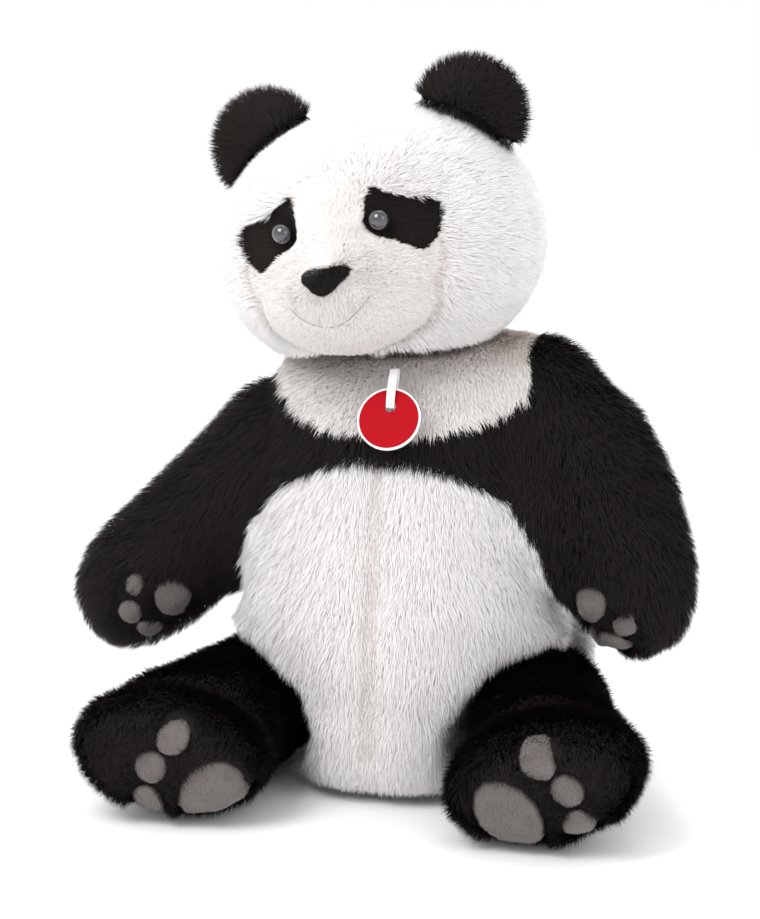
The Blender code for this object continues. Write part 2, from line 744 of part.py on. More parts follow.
NOSE_ZONE = outline_prism("nose_zone", NOSE_OUTLINE, NOSE_FRAME, REACH / 2)
NOSE_ZONE_WIDE = outline_prism("nose_zone_wide", NOSE_OUTLINE, NOSE_FRAME, REACH / 2, GAP)
patches = {}
for side, word in ((1, "left"), (-1, "right")):
    outline = PATCH_OUTLINE if side > 0 else mirrored(PATCH_OUTLINE)
    patches[word] = (
        outline_prism("patch_zone_" + word, outline, HEAD_FRAME, REACH / 2),
        outline_prism("patch_zone_wide_" + word, outline, HEAD_FRAME, REACH / 2, GAP),
    )

skin = minus(
    SCALP,
    LINING,
    BED,
    MUZZLE_ZONE_WIDE,
    STRIP_ZONE_WIDE,
    patches["left"][1],
    patches["right"][1],
)
piece("head_skin", skin, WHITE_PLUSH, HEAD_PIVOT)
muzzle = minus(shared(copy_tool("muzzle_shape", FACE), MUZZLE_ZONE), LINING, BED, NOSE_ZONE_WIDE)
piece("muzzle_panel", muzzle, CREAM_PLUSH, HEAD_PIVOT)
strip = minus(
    shared(STRIP_ZONE, FACE), LINING, MUZZLE_ZONE_WIDE, patches["left"][1], patches["right"][1]
)
piece("brow_strip", strip, CREAM_PLUSH, HEAD_PIVOT)
NOSE_TOP = ellipsoid("nose_top", MUZZLE_CENTRE, MUZZLE_RADII, HEAD_FRAME, NOSE_PROUD)
nose = minus(shared(NOSE_ZONE, NOSE_TOP), LINING)
piece("nose", nose, NOSE_PLUSH, HEAD_PIVOT)

fill = minus(HEAD_CORE, dome("neck_bed_fill", GAP))
for side, word in ((1, "left"), (-1, "right")):
    x = EYE_POSITION[0] * side
    z = EYE_POSITION[1]
    inner_depth = -(HEAD_RADII[1] - SHORT_PILE - 2 * MM) * math.sqrt(
        1 - (x / HEAD_RADII[0]) ** 2 - (z / HEAD_RADII[2]) ** 2
    )
    eye_frame = (
        HEAD_FRAME
        @ Matrix.Translation((x, inner_depth, z))
        @ Matrix.Rotation(EYE_LOOK * side, 4, "Z")
        @ Matrix.Rotation(math.radians(-8), 4, "X")
        @ Matrix.Rotation(math.radians(90), 4, "X")
    )
    dome_piece = ellipsoid(
        "eye_shape_" + word,
        (0, 0, EYE_LIFT),
        (EYE_RADIUS, EYE_RADIUS, EYE_HEIGHT),
        eye_frame,
        segments=18,
        rings=10,
    )
    shank = rod(
        "eye_shank_" + word,
        eye_frame @ Matrix.Translation((0, 0, -SHANK_LENGTH / 2)),
        SHANK_RADIUS,
        SHANK_RADIUS,
        SHANK_LENGTH,
        12,
    )
    eye = joined(dome_piece, shank)
    seat_room = ellipsoid(
        "eye_room_" + word,
        (0, 0, EYE_LIFT),
        (EYE_RADIUS, EYE_RADIUS, EYE_HEIGHT),
        eye_frame,
        2 * GAP,
        segments=18,
        rings=10,
    )
    shank_room = rod(
        "shank_room_" + word,
        eye_frame @ Matrix.Translation((0, 0, -SHANK_LENGTH / 2)),
        SHANK_RADIUS + GAP,
        SHANK_RADIUS + GAP,
        SHANK_LENGTH + 1 * MM,
        12,
    )
    washer_depth = -7.6 * MM
    washer = rod(
        "washer_shape_" + word,
        eye_frame @ Matrix.Translation((0, 0, washer_depth)),
        WASHER_RADIUS,
        WASHER_RADIUS,
        WASHER_THICKNESS,
        16,
    )
    washer_room = rod(
        "washer_room_" + word,
        eye_frame @ Matrix.Translation((0, 0, washer_depth)),
        WASHER_RADIUS + GAP,
        WASHER_RADIUS + GAP,
        WASHER_THICKNESS + 2 * GAP,
        16,
    )
    washer = minus(washer, shank_room)
    patch = minus(
        shared(patches[word][0], FACE), LINING, MUZZLE_ZONE_WIDE, seat_room, shank_room, washer_room
    )
    fill = minus(fill, shank_room, washer_room)
    piece("eye_patch_" + word, patch, PATCH_PLUSH, HEAD_PIVOT)
    piece("eye_" + word, eye, EYE_PLASTIC, HEAD_PIVOT)
    piece("eye_washer_" + word, washer, WASHER_PLASTIC, HEAD_PIVOT)

    ear_frame = (
        HEAD_FRAME
        @ Matrix.Translation((EAR_CENTRE[0] * side, EAR_CENTRE[1], EAR_CENTRE[2]))
        @ Matrix.Rotation(EAR_LEAN * side, 4, "Y")
    )
    scalp_bed = ellipsoid("ear_bed_" + word, (0, 0, 0), HEAD_RADII, HEAD_FRAME, GAP)
    for face, turn in (("front", -1), ("back", 1)):
        ear = ellipsoid("ear_shape_" + face + word, (0, 0, 0), EAR_RADII, ear_frame, segments=18, rings=12)
        half = box(
            "ear_half_" + face + word,
            (0, (REACH / 2 + GAP / 2) * turn, 0),
            (REACH, REACH, REACH),
            ear_frame,
        )
        piece("ear_" + face + "_" + word, minus(shared(ear, half), scalp_bed), BLACK_PLUSH, HEAD_PIVOT)
piece("head_stuffing", fill, FILLING, HEAD_PIVOT)

# Mouth: one stitched line standing just off the muzzle
line = bpy.data.curves.new("mouth_line", "CURVE")
line.dimensions = "3D"
line.bevel_depth = MOUTH_RADIUS
line.bevel_resolution = 1
line.use_fill_caps = True
line.resolution_u = 2
stitch = line.splines.new("BEZIER")
stitch.bezier_points.add(len(MOUTH_LINE) - 1)
for knot, (x, z) in zip(stitch.bezier_points, MOUTH_LINE):
    across = x * MM / (MUZZLE_RADII[0] + MOUTH_STANDOFF)
    height = (z * MM - MUZZLE_CENTRE[2]) / (MUZZLE_RADII[2] + MOUTH_STANDOFF)
    depth = MUZZLE_CENTRE[1] - (MUZZLE_RADII[1] + MOUTH_STANDOFF) * math.sqrt(1 - across**2 - height**2)
    knot.co = HEAD_FRAME @ Vector((x * MM, depth, z * MM))
    knot.handle_left_type = "AUTO"
    knot.handle_right_type = "AUTO"
thread = object_of("mouth_thread", line, TOOLS)
bpy.context.view_layer.update()
graph = bpy.context.evaluated_depsgraph_get()
thread_mesh = bpy.data.meshes.new_from_object(thread.evaluated_get(graph))
shape = bmesh.new()
shape.from_mesh(thread_mesh)
bmesh.ops.remove_doubles(shape, verts=shape.verts, dist=0.01 * MM)
bmesh.ops.recalc_face_normals(shape, faces=shape.faces)
shape.to_mesh(thread_mesh)
shape.free()
bpy.data.objects.remove(thread)
piece("mouth_stitch", tool("mouth_shape", thread_mesh), THREAD, HEAD_PIVOT)

# Swing tag: a disc on a closed flat strap that passes through its hole
TAG_FRAME = Matrix.Translation(TAG_PIVOT) @ Matrix.Rotation(-TAG_LEAN, 4, "X")
DISC_FRAME = TAG_FRAME @ Matrix.Translation((0, 0, -TAG_DROP)) @ Matrix.Rotation(math.radians(90), 4, "X")
disc = rod("disc_shape", DISC_FRAME, TAG_RADIUS, TAG_RADIUS, TAG_THICKNESS, 36)
hole = rod(
    "disc_hole",
    DISC_FRAME @ Matrix.Translation((0, TAG_HOLE_UP, 0)),
    TAG_HOLE_RADIUS,
    TAG_HOLE_RADIUS,
    TAG_THICKNESS * 3,
    20,
)
piece("tag_disc", minus(disc, hole), TAG_CARD, TAG_AXIS)
ring_frame = TAG_FRAME @ Matrix.Translation((0, 0, -STRAP_LENGTH / 2))
ring_frame = ring_frame @ Matrix.Rotation(math.radians(90), 4, "Y")
band = rod(
    "strap_outer",
    ring_frame,
    STRAP_LENGTH / 2 + STRAP_THICKNESS,
    STRAP_SPREAD + STRAP_THICKNESS,
    STRAP_WIDTH,
    24,
)
eyelet = rod("strap_inner", ring_frame, STRAP_LENGTH / 2, STRAP_SPREAD, STRAP_WIDTH * 2, 24)
piece("tag_strap", minus(band, eyelet), STRAP_PLASTIC, TAG_AXIS)

for item in list(TOOLS.objects):
    bpy.data.objects.remove(item, do_unlink=True)
for item in PIECES.objects:
    if item.parent is None:
        item.location = item.location + Vector(CENTRING)
bpy.context.view_layer.update()
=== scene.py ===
"""Looks of the seated plush panda: backings, pile, pads, eyes, nose and swing tag over the CAD frame."""

import json
import math

import bpy
import numpy as np
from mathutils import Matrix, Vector
from mathutils.bvhtree import BVHTree


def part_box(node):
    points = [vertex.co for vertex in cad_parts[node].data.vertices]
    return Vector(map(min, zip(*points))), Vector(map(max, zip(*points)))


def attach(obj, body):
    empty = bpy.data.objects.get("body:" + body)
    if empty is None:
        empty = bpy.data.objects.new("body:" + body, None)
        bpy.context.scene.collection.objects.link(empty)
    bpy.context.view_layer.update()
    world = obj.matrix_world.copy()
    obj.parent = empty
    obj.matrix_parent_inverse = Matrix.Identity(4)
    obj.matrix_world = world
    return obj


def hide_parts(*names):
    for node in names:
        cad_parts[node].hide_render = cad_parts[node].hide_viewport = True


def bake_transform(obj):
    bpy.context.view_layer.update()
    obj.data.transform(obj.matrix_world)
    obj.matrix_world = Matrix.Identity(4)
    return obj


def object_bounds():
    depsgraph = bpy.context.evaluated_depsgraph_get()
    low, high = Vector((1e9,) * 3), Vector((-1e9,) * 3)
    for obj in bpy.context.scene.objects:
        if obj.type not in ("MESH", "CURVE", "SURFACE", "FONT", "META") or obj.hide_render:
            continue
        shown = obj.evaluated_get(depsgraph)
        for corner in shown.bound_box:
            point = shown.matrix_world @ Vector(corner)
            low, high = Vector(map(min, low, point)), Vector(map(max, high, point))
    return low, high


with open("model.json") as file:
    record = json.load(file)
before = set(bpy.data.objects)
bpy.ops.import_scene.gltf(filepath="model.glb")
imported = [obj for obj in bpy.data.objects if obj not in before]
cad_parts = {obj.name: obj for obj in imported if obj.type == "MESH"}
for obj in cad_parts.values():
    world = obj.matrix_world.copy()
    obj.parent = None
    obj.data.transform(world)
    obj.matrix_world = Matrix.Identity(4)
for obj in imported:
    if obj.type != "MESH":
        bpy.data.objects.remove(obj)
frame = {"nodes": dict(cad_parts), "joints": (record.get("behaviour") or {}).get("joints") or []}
CAD_BOX = [list(corner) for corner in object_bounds()]

bl_info = {
    "name": "Plush panda",
    "version": (1, 0, 0),
    "blender": (4, 5, 0),
    "location": "3D View > Sidebar > Plush panda",
    "description": "Sews the plush of a seated toy panda over its CAD frame",
    "category": "Add Mesh",
}

MM = 0.001
UV_NAME = "OFBake"
PILE = "pile of "
SIDES = ("left", "right")
WHITE, CREAM, BLACK = "white long plush", "cream short plush", "black long plush"
SHORN, GREY, FLOCK = "black short plush", "grey pad plush", "flocked nose"

# Hairs fall together in locks of this size, by this share of their distance from the middle
LOCK_SIZE, LOCK_PULL = 0.0042, 0.19
# The floor carries the toy, so no backing and no hair goes lower than this
FLOOR_BACKING, FLOOR_HAIR = 1 * MM, 0.3 * MM
# How far each backing lies under the outside of its pile; for two lengths of pile, the long one first
TRUNK_INSET, HEAD_INSET = (7.0 * MM, 4.5 * MM), (6.2 * MM, 3.0 * MM)
ARM_INSET, LEG_INSET, TAIL_INSET, EAR_INSET, PAD_INSET = 6.6 * MM, 7.0 * MM, 6 * MM, 4.3 * MM, 0.4 * MM
# Each shoulder swells round a spot this far out and up from its joint, by the third length, in millimetres
SHOULDERS = {"left": (-12, 38, 16), "right": (-4, 25, 11)}
# Two distances out from the shoulder's joint along the arm; nothing bends the sleeve between them
SLEEVE_BEND = (1 * MM, 36 * MM)
UP = np.array([0.0, 0.0, 1.0])


# ---------------------------------------------------------------- sizes and colours


def length_prop(name, description, default, top=0.05):
    """A length in metres, shown with its unit."""
    return bpy.props.FloatProperty(
        name=name, description=description, default=default, min=0.0, max=top, unit="LENGTH", precision=4
    )


def colour_prop(name, description, default):
    """A linear colour."""
    return bpy.props.FloatVectorProperty(
        name=name, description=description, default=default, subtype="COLOR", size=3, min=0.0, max=1.0
    )


class PandaSizes(bpy.types.PropertyGroup):
    """Sizes of the pile and of the sewn detail."""

    body_pile: length_prop("Body pile", "Length of the black and white body hairs", 0.0120)
    head_pile: length_prop("Head pile", "Length of the white hairs of the head", 0.0085)
    ear_pile: length_prop("Ear pile", "Length of the black hairs of the ears", 0.0095)
    bib_pile: length_prop("Bib pile", "Length of the cream hairs under the chin", 0.0065)
    face_pile: length_prop("Face pile", "Length of the shorn hairs of muzzle and nose bridge", 0.0040)
    patch_pile: length_prop("Patch pile", "Length of the shorn black hairs round the eyes", 0.0042)
    pad_pile: length_prop("Pad pile", "Length of the grey velour hairs of the pads", 0.0022)
    flock_pile: length_prop("Nose flock", "Length of the flock on the nose", 0.0019)
    hair_width: length_prop("Hair width", "Width of a lock of body hairs at its root", 0.00040, 0.003)
    fine_width: length_prop("Fine hair width", "Width of a shorn hair at its root", 0.00040, 0.003)
    backing_step: length_prop("Backing step", "Size of the grid the stuffed shapes are made on", 0.004, 0.02)
    crease: length_prop("Seam depth", "How far a seam pulls the backing in", 0.0035, 0.02)
    stuffing: bpy.props.FloatProperty(
        name="Stuffing", description="How hard the skins are filled", default=0.8, min=0.0, max=1.0
    )
    hairs: bpy.props.FloatProperty(
        name="Hairs per square millimetre", description="Locks of body hair on each square millimetre", default=1.3
    )
    seed: bpy.props.IntProperty(name="Seed", description="Start of the random numbers", default=7)


class PandaColours(bpy.types.PropertyGroup):
    """Colours of the plush, the pads and the hard parts."""

    white: colour_prop("White plush", "Tips of the white hairs", (0.945, 0.928, 0.920))
    # Painted shade: the roots are darker, for the shade deep in the pile.
    white_deep: colour_prop("White plush root", "Roots of the white hairs", (0.90, 0.872, 0.858))
    # Painted shade in the seams and creases of the white pile.
    seam_stain: colour_prop("Seam shade", "Hairs that lie in a white seam", (0.78, 0.70, 0.66))
    cream: colour_prop("Cream plush", "Tips of the cream hairs", (0.875, 0.840, 0.822))
    # Painted shade: the roots are darker, for the shade deep in the pile.
    cream_deep: colour_prop("Cream plush root", "Roots of the cream hairs", (0.835, 0.795, 0.775))
    # Painted shade in the creases of the cream pile, along the mouth and under the chin.
    cream_stain: colour_prop("Cream seam shade", "Hairs that lie in a cream seam", (0.90, 0.79, 0.71))
    black: colour_prop("Black plush", "Tips of the black hairs", (0.0145, 0.0112, 0.0095))
    # Painted shade: the roots are darker, for the shade deep in the pile.
    black_deep: colour_prop("Black plush root", "Roots of the black hairs", (0.004, 0.0035, 0.003))
    pad: colour_prop("Pad velour", "Tips of the grey velour", (0.255, 0.228, 0.220))
    # Painted shade: the roots are darker, for the shade deep in the pile.
    pad_deep: colour_prop("Pad velour root", "Roots of the grey velour", (0.115, 0.100, 0.095))
    eye: colour_prop("Eye", "Back of the clear eye", (0.018, 0.018, 0.021))
    eye_ring: colour_prop("Eye ring", "Grey ring inside the eye", (0.028, 0.028, 0.034))
    tag: colour_prop("Tag", "Face of the swing tag", (0.37, 0.004, 0.010))
    tag_rim: colour_prop("Tag rim", "Edge of the swing tag", (0.86, 0.84, 0.83))
    strap: colour_prop("Strap", "Loop that holds the tag", (0.80, 0.80, 0.80))
    thread: colour_prop("Mouth thread", "Stitches of the mouth", (0.42, 0.30, 0.24))


def sizes():
    return bpy.context.scene.panda_sizes


def colours():
    return bpy.context.scene.panda_colours


# ---------------------------------------------------------------- shader maths


class Wire:
    """A socket, or a number, that adds Math nodes when it is used in an expression."""

    def __init__(self, recipe, socket):
        self.recipe = recipe
        self.socket = socket

    def _math(self, operation, *others):
        return self.recipe.node("ShaderNodeMath", {"operation": operation}, [self, *others])

    def __add__(self, other):
        return self._math("ADD", other)

    __radd__ = __add__

    def __mul__(self, other):
        return self._math("MULTIPLY", other)

    __rmul__ = __mul__

    def __sub__(self, other):
        return self._math("SUBTRACT", other)

    def __rsub__(self, other):
        return self.recipe.node("ShaderNodeMath", {"operation": "SUBTRACT"}, [other, self])

    def __gt__(self, other):
        return self._math("GREATER_THAN", other)

    def clamp(self):
        return self.recipe.node("ShaderNodeMath", {"operation": "ADD", "use_clamp": True}, [self, 0.0])


class Recipe:
    """One material and its nodes."""

    def __init__(self, name):
        self.material = bpy.data.materials.new(name)
        self.material.use_nodes = True
        self.tree = self.material.node_tree
        self.tree.nodes.clear()
        self.shader = self.tree.nodes.new("ShaderNodeBsdfPrincipled")
        end = self.tree.nodes.new("ShaderNodeOutputMaterial")
        self.tree.links.new(self.shader.outputs[0], end.inputs["Surface"])

    def feed(self, socket, value):
        if isinstance(value, Wire):
            self.tree.links.new(value.socket, socket)
        elif value is not None:
            if hasattr(socket.default_value, "__len__") and len(socket.default_value) == 4:
                value = (*tuple(value)[:3], 1.0)
            socket.default_value = value

    def node(self, kind, settings=None, sockets=(), out=0):
        """A node of any kind: its settings first, then the values or links of its sockets."""
        made = self.tree.nodes.new(kind)
        for key, value in (settings or {}).items():
            if key == "stops":
                ramp = made.color_ramp
                while len(ramp.elements) < len(value):
                    ramp.elements.new(0.5)
                for element, (place, colour) in zip(ramp.elements, value):
                    element.position = place
                    element.color = (*tuple(colour)[:3], 1.0)
            else:
                setattr(made, key, value)
        pairs = sockets.items() if isinstance(sockets, dict) else enumerate(sockets)
        for key, value in pairs:
            self.feed(made.inputs[key], value)
        return Wire(self, made.outputs[out])

    def spot(self):
        """The place of a point on its own object."""
        return self.node("ShaderNodeTexCoord", {}, (), 3)

    def mix(self, share, first, second):
        """A colour between two, by the Mix node."""
        made = self.tree.nodes.new("ShaderNodeMix")
        made.data_type = "RGBA"
        self.feed(made.inputs[0], share)
        self.feed(made.inputs[6], first)
        self.feed(made.inputs[7], second)
        return Wire(self, made.outputs[2])

    def noise(self, where, scale, detail=2.0, rough=0.5):
        return self.node(
            "ShaderNodeTexNoise", {}, {"Vector": where, "Scale": scale, "Detail": detail, "Roughness": rough}
        )

    def finish(self, **values):
        for key, value in values.items():
            self.feed(self.shader.inputs[key.replace("_", " ")], value)
        return self.material


def pile_material(name, tip, root, shade, gloss=0.75, sheen=0.12, sheen_colour=(1, 1, 1), shine=0.25):
    """Plush hairs: the map's first axis is the lock's tone, its second runs from root to tip."""
    r = Recipe(PILE + name)
    place = r.node("ShaderNodeUVMap", {"uv_map": UV_NAME})
    tone = r.node("ShaderNodeSeparateXYZ", {}, [place], 0)
    along = r.node("ShaderNodeSeparateXYZ", {}, [place], 1)
    grain = r.noise(place, 38.0, 3.0, 0.6)
    # Painted shade: each hair runs from its darker root colour, for the shade deep in the pile, to its tip colour.
    body = r.mix((along * 1.15 + grain * 0.25 - 0.12).clamp(), root, tip)
    # Hairs of low tone take the shade colour: painted shade in seams, creases and under the chin, and a few darker
    # locks at random.
    crease_shaded = r.mix(((0.46 - tone) * 2.6).clamp(), body, shade)
    lit = r.mix(((tone - 0.62) * 0.9 * along).clamp(), crease_shaded, tuple(min(1.0, c * 1.18 + 0.02) for c in tip))
    rough = gloss + grain * 0.2 - along * 0.12
    return r.finish(
        Base_Color=lit,
        Roughness=rough,
        Sheen_Weight=sheen,
        Sheen_Roughness=0.5,
        Sheen_Tint=sheen_colour,
        Specular_IOR_Level=shine,
    )


def materials():
    """Every plush material, made once."""
    if PILE + WHITE in bpy.data.materials:
        return
    c = colours()
    # The root colours and shade colours handed in here are painted shade.
    pile_material(WHITE, c.white, c.white_deep, c.seam_stain, 0.8, 0.1)
    pile_material(CREAM, c.cream, c.cream_deep, c.cream_stain, 0.8, 0.1)
    pile_material(BLACK, c.black, c.black_deep, c.black_deep, 0.62, 0.03, (0.9, 0.78, 0.7), 0.13)
    pile_material(SHORN, c.black, c.black_deep, c.black_deep, 0.7, 0.03, (0.9, 0.78, 0.7), 0.13)
    pile_material(GREY, c.pad, c.pad_deep, c.pad_deep, 0.8, 0.15)
    pile_material(FLOCK, c.black, c.black_deep, c.black_deep, 0.8, 0.04)


# ---------------------------------------------------------------- mesh work in arrays


def unit(v):
    return v / np.maximum(np.linalg.norm(v, axis=-1, keepdims=True), 1e-12)


def add(name, data):
    obj = bpy.data.objects.new(name, data)
    bpy.context.scene.collection.objects.link(obj)
    return obj


def aim(obj, place, way):
    """Puts a camera or a lamp in its place and turns it to face along way."""
    obj.location = place
    obj.rotation_mode = "QUATERNION"
    obj.rotation_quaternion = way.to_track_quat("-Z", "Y")


def centre(node):
    low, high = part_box(node)
    return np.array((low + high) / 2)


def extent(node):
    low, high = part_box(node)
    return np.array(high - low)


def rows(mesh):
    """Vertex places and triangles of a mesh."""
    mesh.calc_loop_triangles()
    v = np.empty(len(mesh.vertices) * 3)
    mesh.vertices.foreach_get("co", v)
    f = np.empty(len(mesh.loop_triangles) * 3, np.int64)
    mesh.loop_triangles.foreach_get("vertices", f)
    return v.reshape(-1, 3), f.reshape(-1, 3)


def node_rows(names):
    """The joined triangles of several CAD nodes."""
    all_v, all_f, start = [], [], 0
    for name in names:
        v, f = rows(frame["nodes"][name].data)
        all_v.append(v)
        all_f.append(f + start)
        start += len(v)
    return np.concatenate(all_v), np.concatenate(all_f)


def mesh_of(name, v, f):
    mesh = bpy.data.meshes.new(name)
    mesh.from_pydata(v.tolist(), [], f.tolist())
    mesh.update()
    return mesh


class Backing:
    """A closed stuffed shape: its vertices, triangles and outward normals."""

    def __init__(self, v, f):
        self.v = v
        self.f = f
        pairs = np.concatenate([f[:, [0, 1]], f[:, [1, 2]], f[:, [2, 0]]])
        self.edges = np.unique(np.sort(pairs, axis=1), axis=0)
        self.count = np.bincount(self.edges.ravel(), minlength=len(v)).astype(float)
        self.update()

    def update(self):
        p = self.v[self.f]
        self.cross = np.cross(p[:, 1] - p[:, 0], p[:, 2] - p[:, 0])
        n = np.zeros_like(self.v)
        for k in range(3):
            for axis in range(3):
                n[:, axis] += np.bincount(self.f[:, k], self.cross[:, axis], minlength=len(self.v))
        self.n = unit(n)

    def spread(self, values):
        """The mean of each vertex's neighbours."""
        values = np.asarray(values, float)
        flat = values.reshape(len(self.v), -1)
        total = np.zeros_like(flat)
        a, b = self.edges.T
        for k in range(flat.shape[1]):
            total[:, k] = np.bincount(a, flat[b, k], minlength=len(self.v))
            total[:, k] += np.bincount(b, flat[a, k], minlength=len(self.v))
        return (total / self.count[:, None]).reshape(values.shape)

    def smooth(self, times, strength=0.5, keep=True):
        """Evens the surface; with keep, it doesn't shrink."""
        for _ in range(times):
            self.v = self.v + strength * (self.spread(self.v) - self.v)
            if keep:
                self.v = self.v - (strength + 0.03) * (self.spread(self.v) - self.v)
        self.update()

    def even(self, values, times):
        for _ in range(times):
            values = 0.5 * values + 0.5 * self.spread(values)
        return values

    def push(self, amount):
        self.v = self.v + self.n * np.asarray(amount)[:, None]
        self.update()

    def inset(self, depth):
        self.push(np.full(len(self.v), -depth))


def stuffed(names, step):
    """One closed surface round several CAD nodes, on an even grid."""
    v, f = node_rows(names)
    b = regridded(v, f, step)
    # Swelling it, taking the outside and drawing it back closes the gaps between skin and stuffing.
    gap = min(0.0022, 0.7 * step)
    b.inset(-gap)
    b = regridded(b.v, b.f, step)
    b.inset(gap)
    return b


def regridded(v, f, step):
    """One closed surface round everything that the triangles enclose."""
    mesh = mesh_of("stuffed", v, f)
    holder = add("stuffed", mesh)
    grid = holder.modifiers.new("grid", "REMESH")
    grid.mode = "VOXEL"
    grid.voxel_size = step
    graph = bpy.context.evaluated_depsgraph_get()
    made = bpy.data.meshes.new_from_object(holder.evaluated_get(graph))
    v, f = rows(made)
    bpy.data.objects.remove(holder)
    bpy.data.meshes.remove(mesh)
    bpy.data.meshes.remove(made)
    return outer_shell(v, f)


def outer_shell(v, f):
    """Only the outermost closed surface is kept."""
    label = np.arange(len(v))
    edges = np.concatenate([f[:, [0, 1]], f[:, [1, 2]]])
    while True:
        low = np.minimum(label[edges[:, 0]], label[edges[:, 1]])
        new = label.copy()
        np.minimum.at(new, edges[:, 0], low)
        np.minimum.at(new, edges[:, 1], low)
        new = new[new]
        if (new == label).all():
            break
        label = new
    best, size = None, -1.0
    for shell in np.unique(label):
        part = v[label == shell]
        span = float(np.prod(np.ptp(part, axis=0)))
        if span > size:
            best, size = shell, span
    used = label == best
    index = np.cumsum(used) - 1
    return Backing(v[used], index[f[used[f[:, 0]]]])


def distances(points, names):
    """How far each point lies from the surface of each CAD node."""
    table = np.empty((len(points), len(names)))
    for k, name in enumerate(names):
        v, f = node_rows([name])
        tree = BVHTree.FromPolygons(v.tolist(), f.tolist())
        near = tree.find_nearest
        table[:, k] = [near(p)[3] for p in points.tolist()]
    return table


def wave(p, scale, seed):
    """A smooth random field over space, from a few sines."""
    rng = np.random.default_rng(seed)
    total = np.zeros(len(p))
    for k in range(5):
        direction = unit(rng.normal(size=3))
        total += np.sin(p @ direction * (2 * math.pi / scale) * (0.6 + 0.35 * k) + rng.uniform(0, 6.28))
    return total / 5


def bump_at(p, spot, radius):
    """A soft hill of height 1 round a spot."""
    return np.exp(-((np.linalg.norm(p - spot, axis=1) / radius) ** 2))


def tangent(direction, n):
    direction = direction - (direction * n).sum(1, keepdims=True) * n
    return unit(direction)


# ---------------------------------------------------------------- pile


def grow(backing, density, seed):
    """Picks the roots of the hairs. at reads a value of the backing at each root."""
    rng = np.random.default_rng(seed)
    area = np.linalg.norm(backing.cross, axis=1) / 2
    each = area * 1e6 * (density[backing.f].mean(1))
    number = np.floor(each + rng.random(len(each))).astype(int)
    face = np.repeat(np.arange(len(each)), number)
    a, b = rng.random(len(face)), rng.random(len(face))
    flip = a + b > 1
    a[flip], b[flip] = 1 - a[flip], 1 - b[flip]
    w = np.stack([1 - a - b, a, b], 1)
    corners = backing.f[face]

    def at(values):
        values = np.asarray(values)
        if values.ndim == 1:
            return (values[corners] * w).sum(1)
        return (values[corners] * w[:, :, None]).sum(1)

    return rng, at


def locks(p, size, pull, seed):
    """Draws the hair tips of one small patch together, so that the pile falls in locks."""
    jitter = np.stack([wave(p, size * 5, seed + k) for k in range(3)], 1) * size * 0.8
    cell = np.floor((p + jitter) / size).astype(np.int64)
    cell -= cell.min(0)
    key = (cell[:, 0] * 4096 + cell[:, 1]) * 4096 + cell[:, 2]
    _, group = np.unique(key, return_inverse=True)
    group = group.reshape(-1)
    count = np.bincount(group).astype(float)
    middle = np.stack([np.bincount(group, p[:, k]) / count for k in range(3)], 1)
    return (middle[group] - p) * pull


def hair_mesh(p, n, d, length, width, lean, tone, rng, pull):
    """Tapered curved blades. lean is 0 for hairs that stand up and 1 for hairs that lie flat."""
    count = len(p)
    length = length[:, None]
    lean = np.clip(lean, 0.02, 0.97)[:, None]
    low = unit(n * (1 - lean * 0.75) + d * lean * 0.75)
    high = unit(n * (1 - lean) * 0.8 + d * (lean + 0.12))
    root = p - n * (0.6 * MM)
    middle = root + low * length * 0.52 + pull * 0.35
    tip = middle + high * length * 0.5 + pull * 0.6
    side = unit(np.cross(tip - root, n))
    turn = rng.normal(0, 0.45, (count, 1))
    side = unit(side * np.cos(turn) + unit(np.cross(side, tip - root)) * np.sin(turn))
    half = side * (width * 0.5)[:, None]
    v = np.empty((count, 5, 3))
    v[:, 0] = root - half
    v[:, 1] = root + half
    v[:, 2] = middle - half * 0.8
    v[:, 3] = middle + half * 0.8
    v[:, 4] = tip
    # The pile is pressed flat where the toy rests.
    v[:, :, 2] = np.maximum(v[:, :, 2], FLOOR_HAIR)
    wild = unit(n + rng.normal(0, 0.08, (count, 3)) + d * 0.10)
    normals = np.repeat(wild[:, None], 5, axis=1)
    facing = (np.cross(v[:, 1] - v[:, 0], v[:, 4] - v[:, 0]) * n).sum(1) < 0
    v[facing] = v[facing][:, [1, 0, 3, 2, 4]]
    uv = np.empty((count, 5, 2))
    uv[:, :, 0] = tone[:, None]
    uv[:, :, 1] = np.array([0.06, 0.06, 0.52, 0.52, 0.95])[None]
    return v, normals, uv


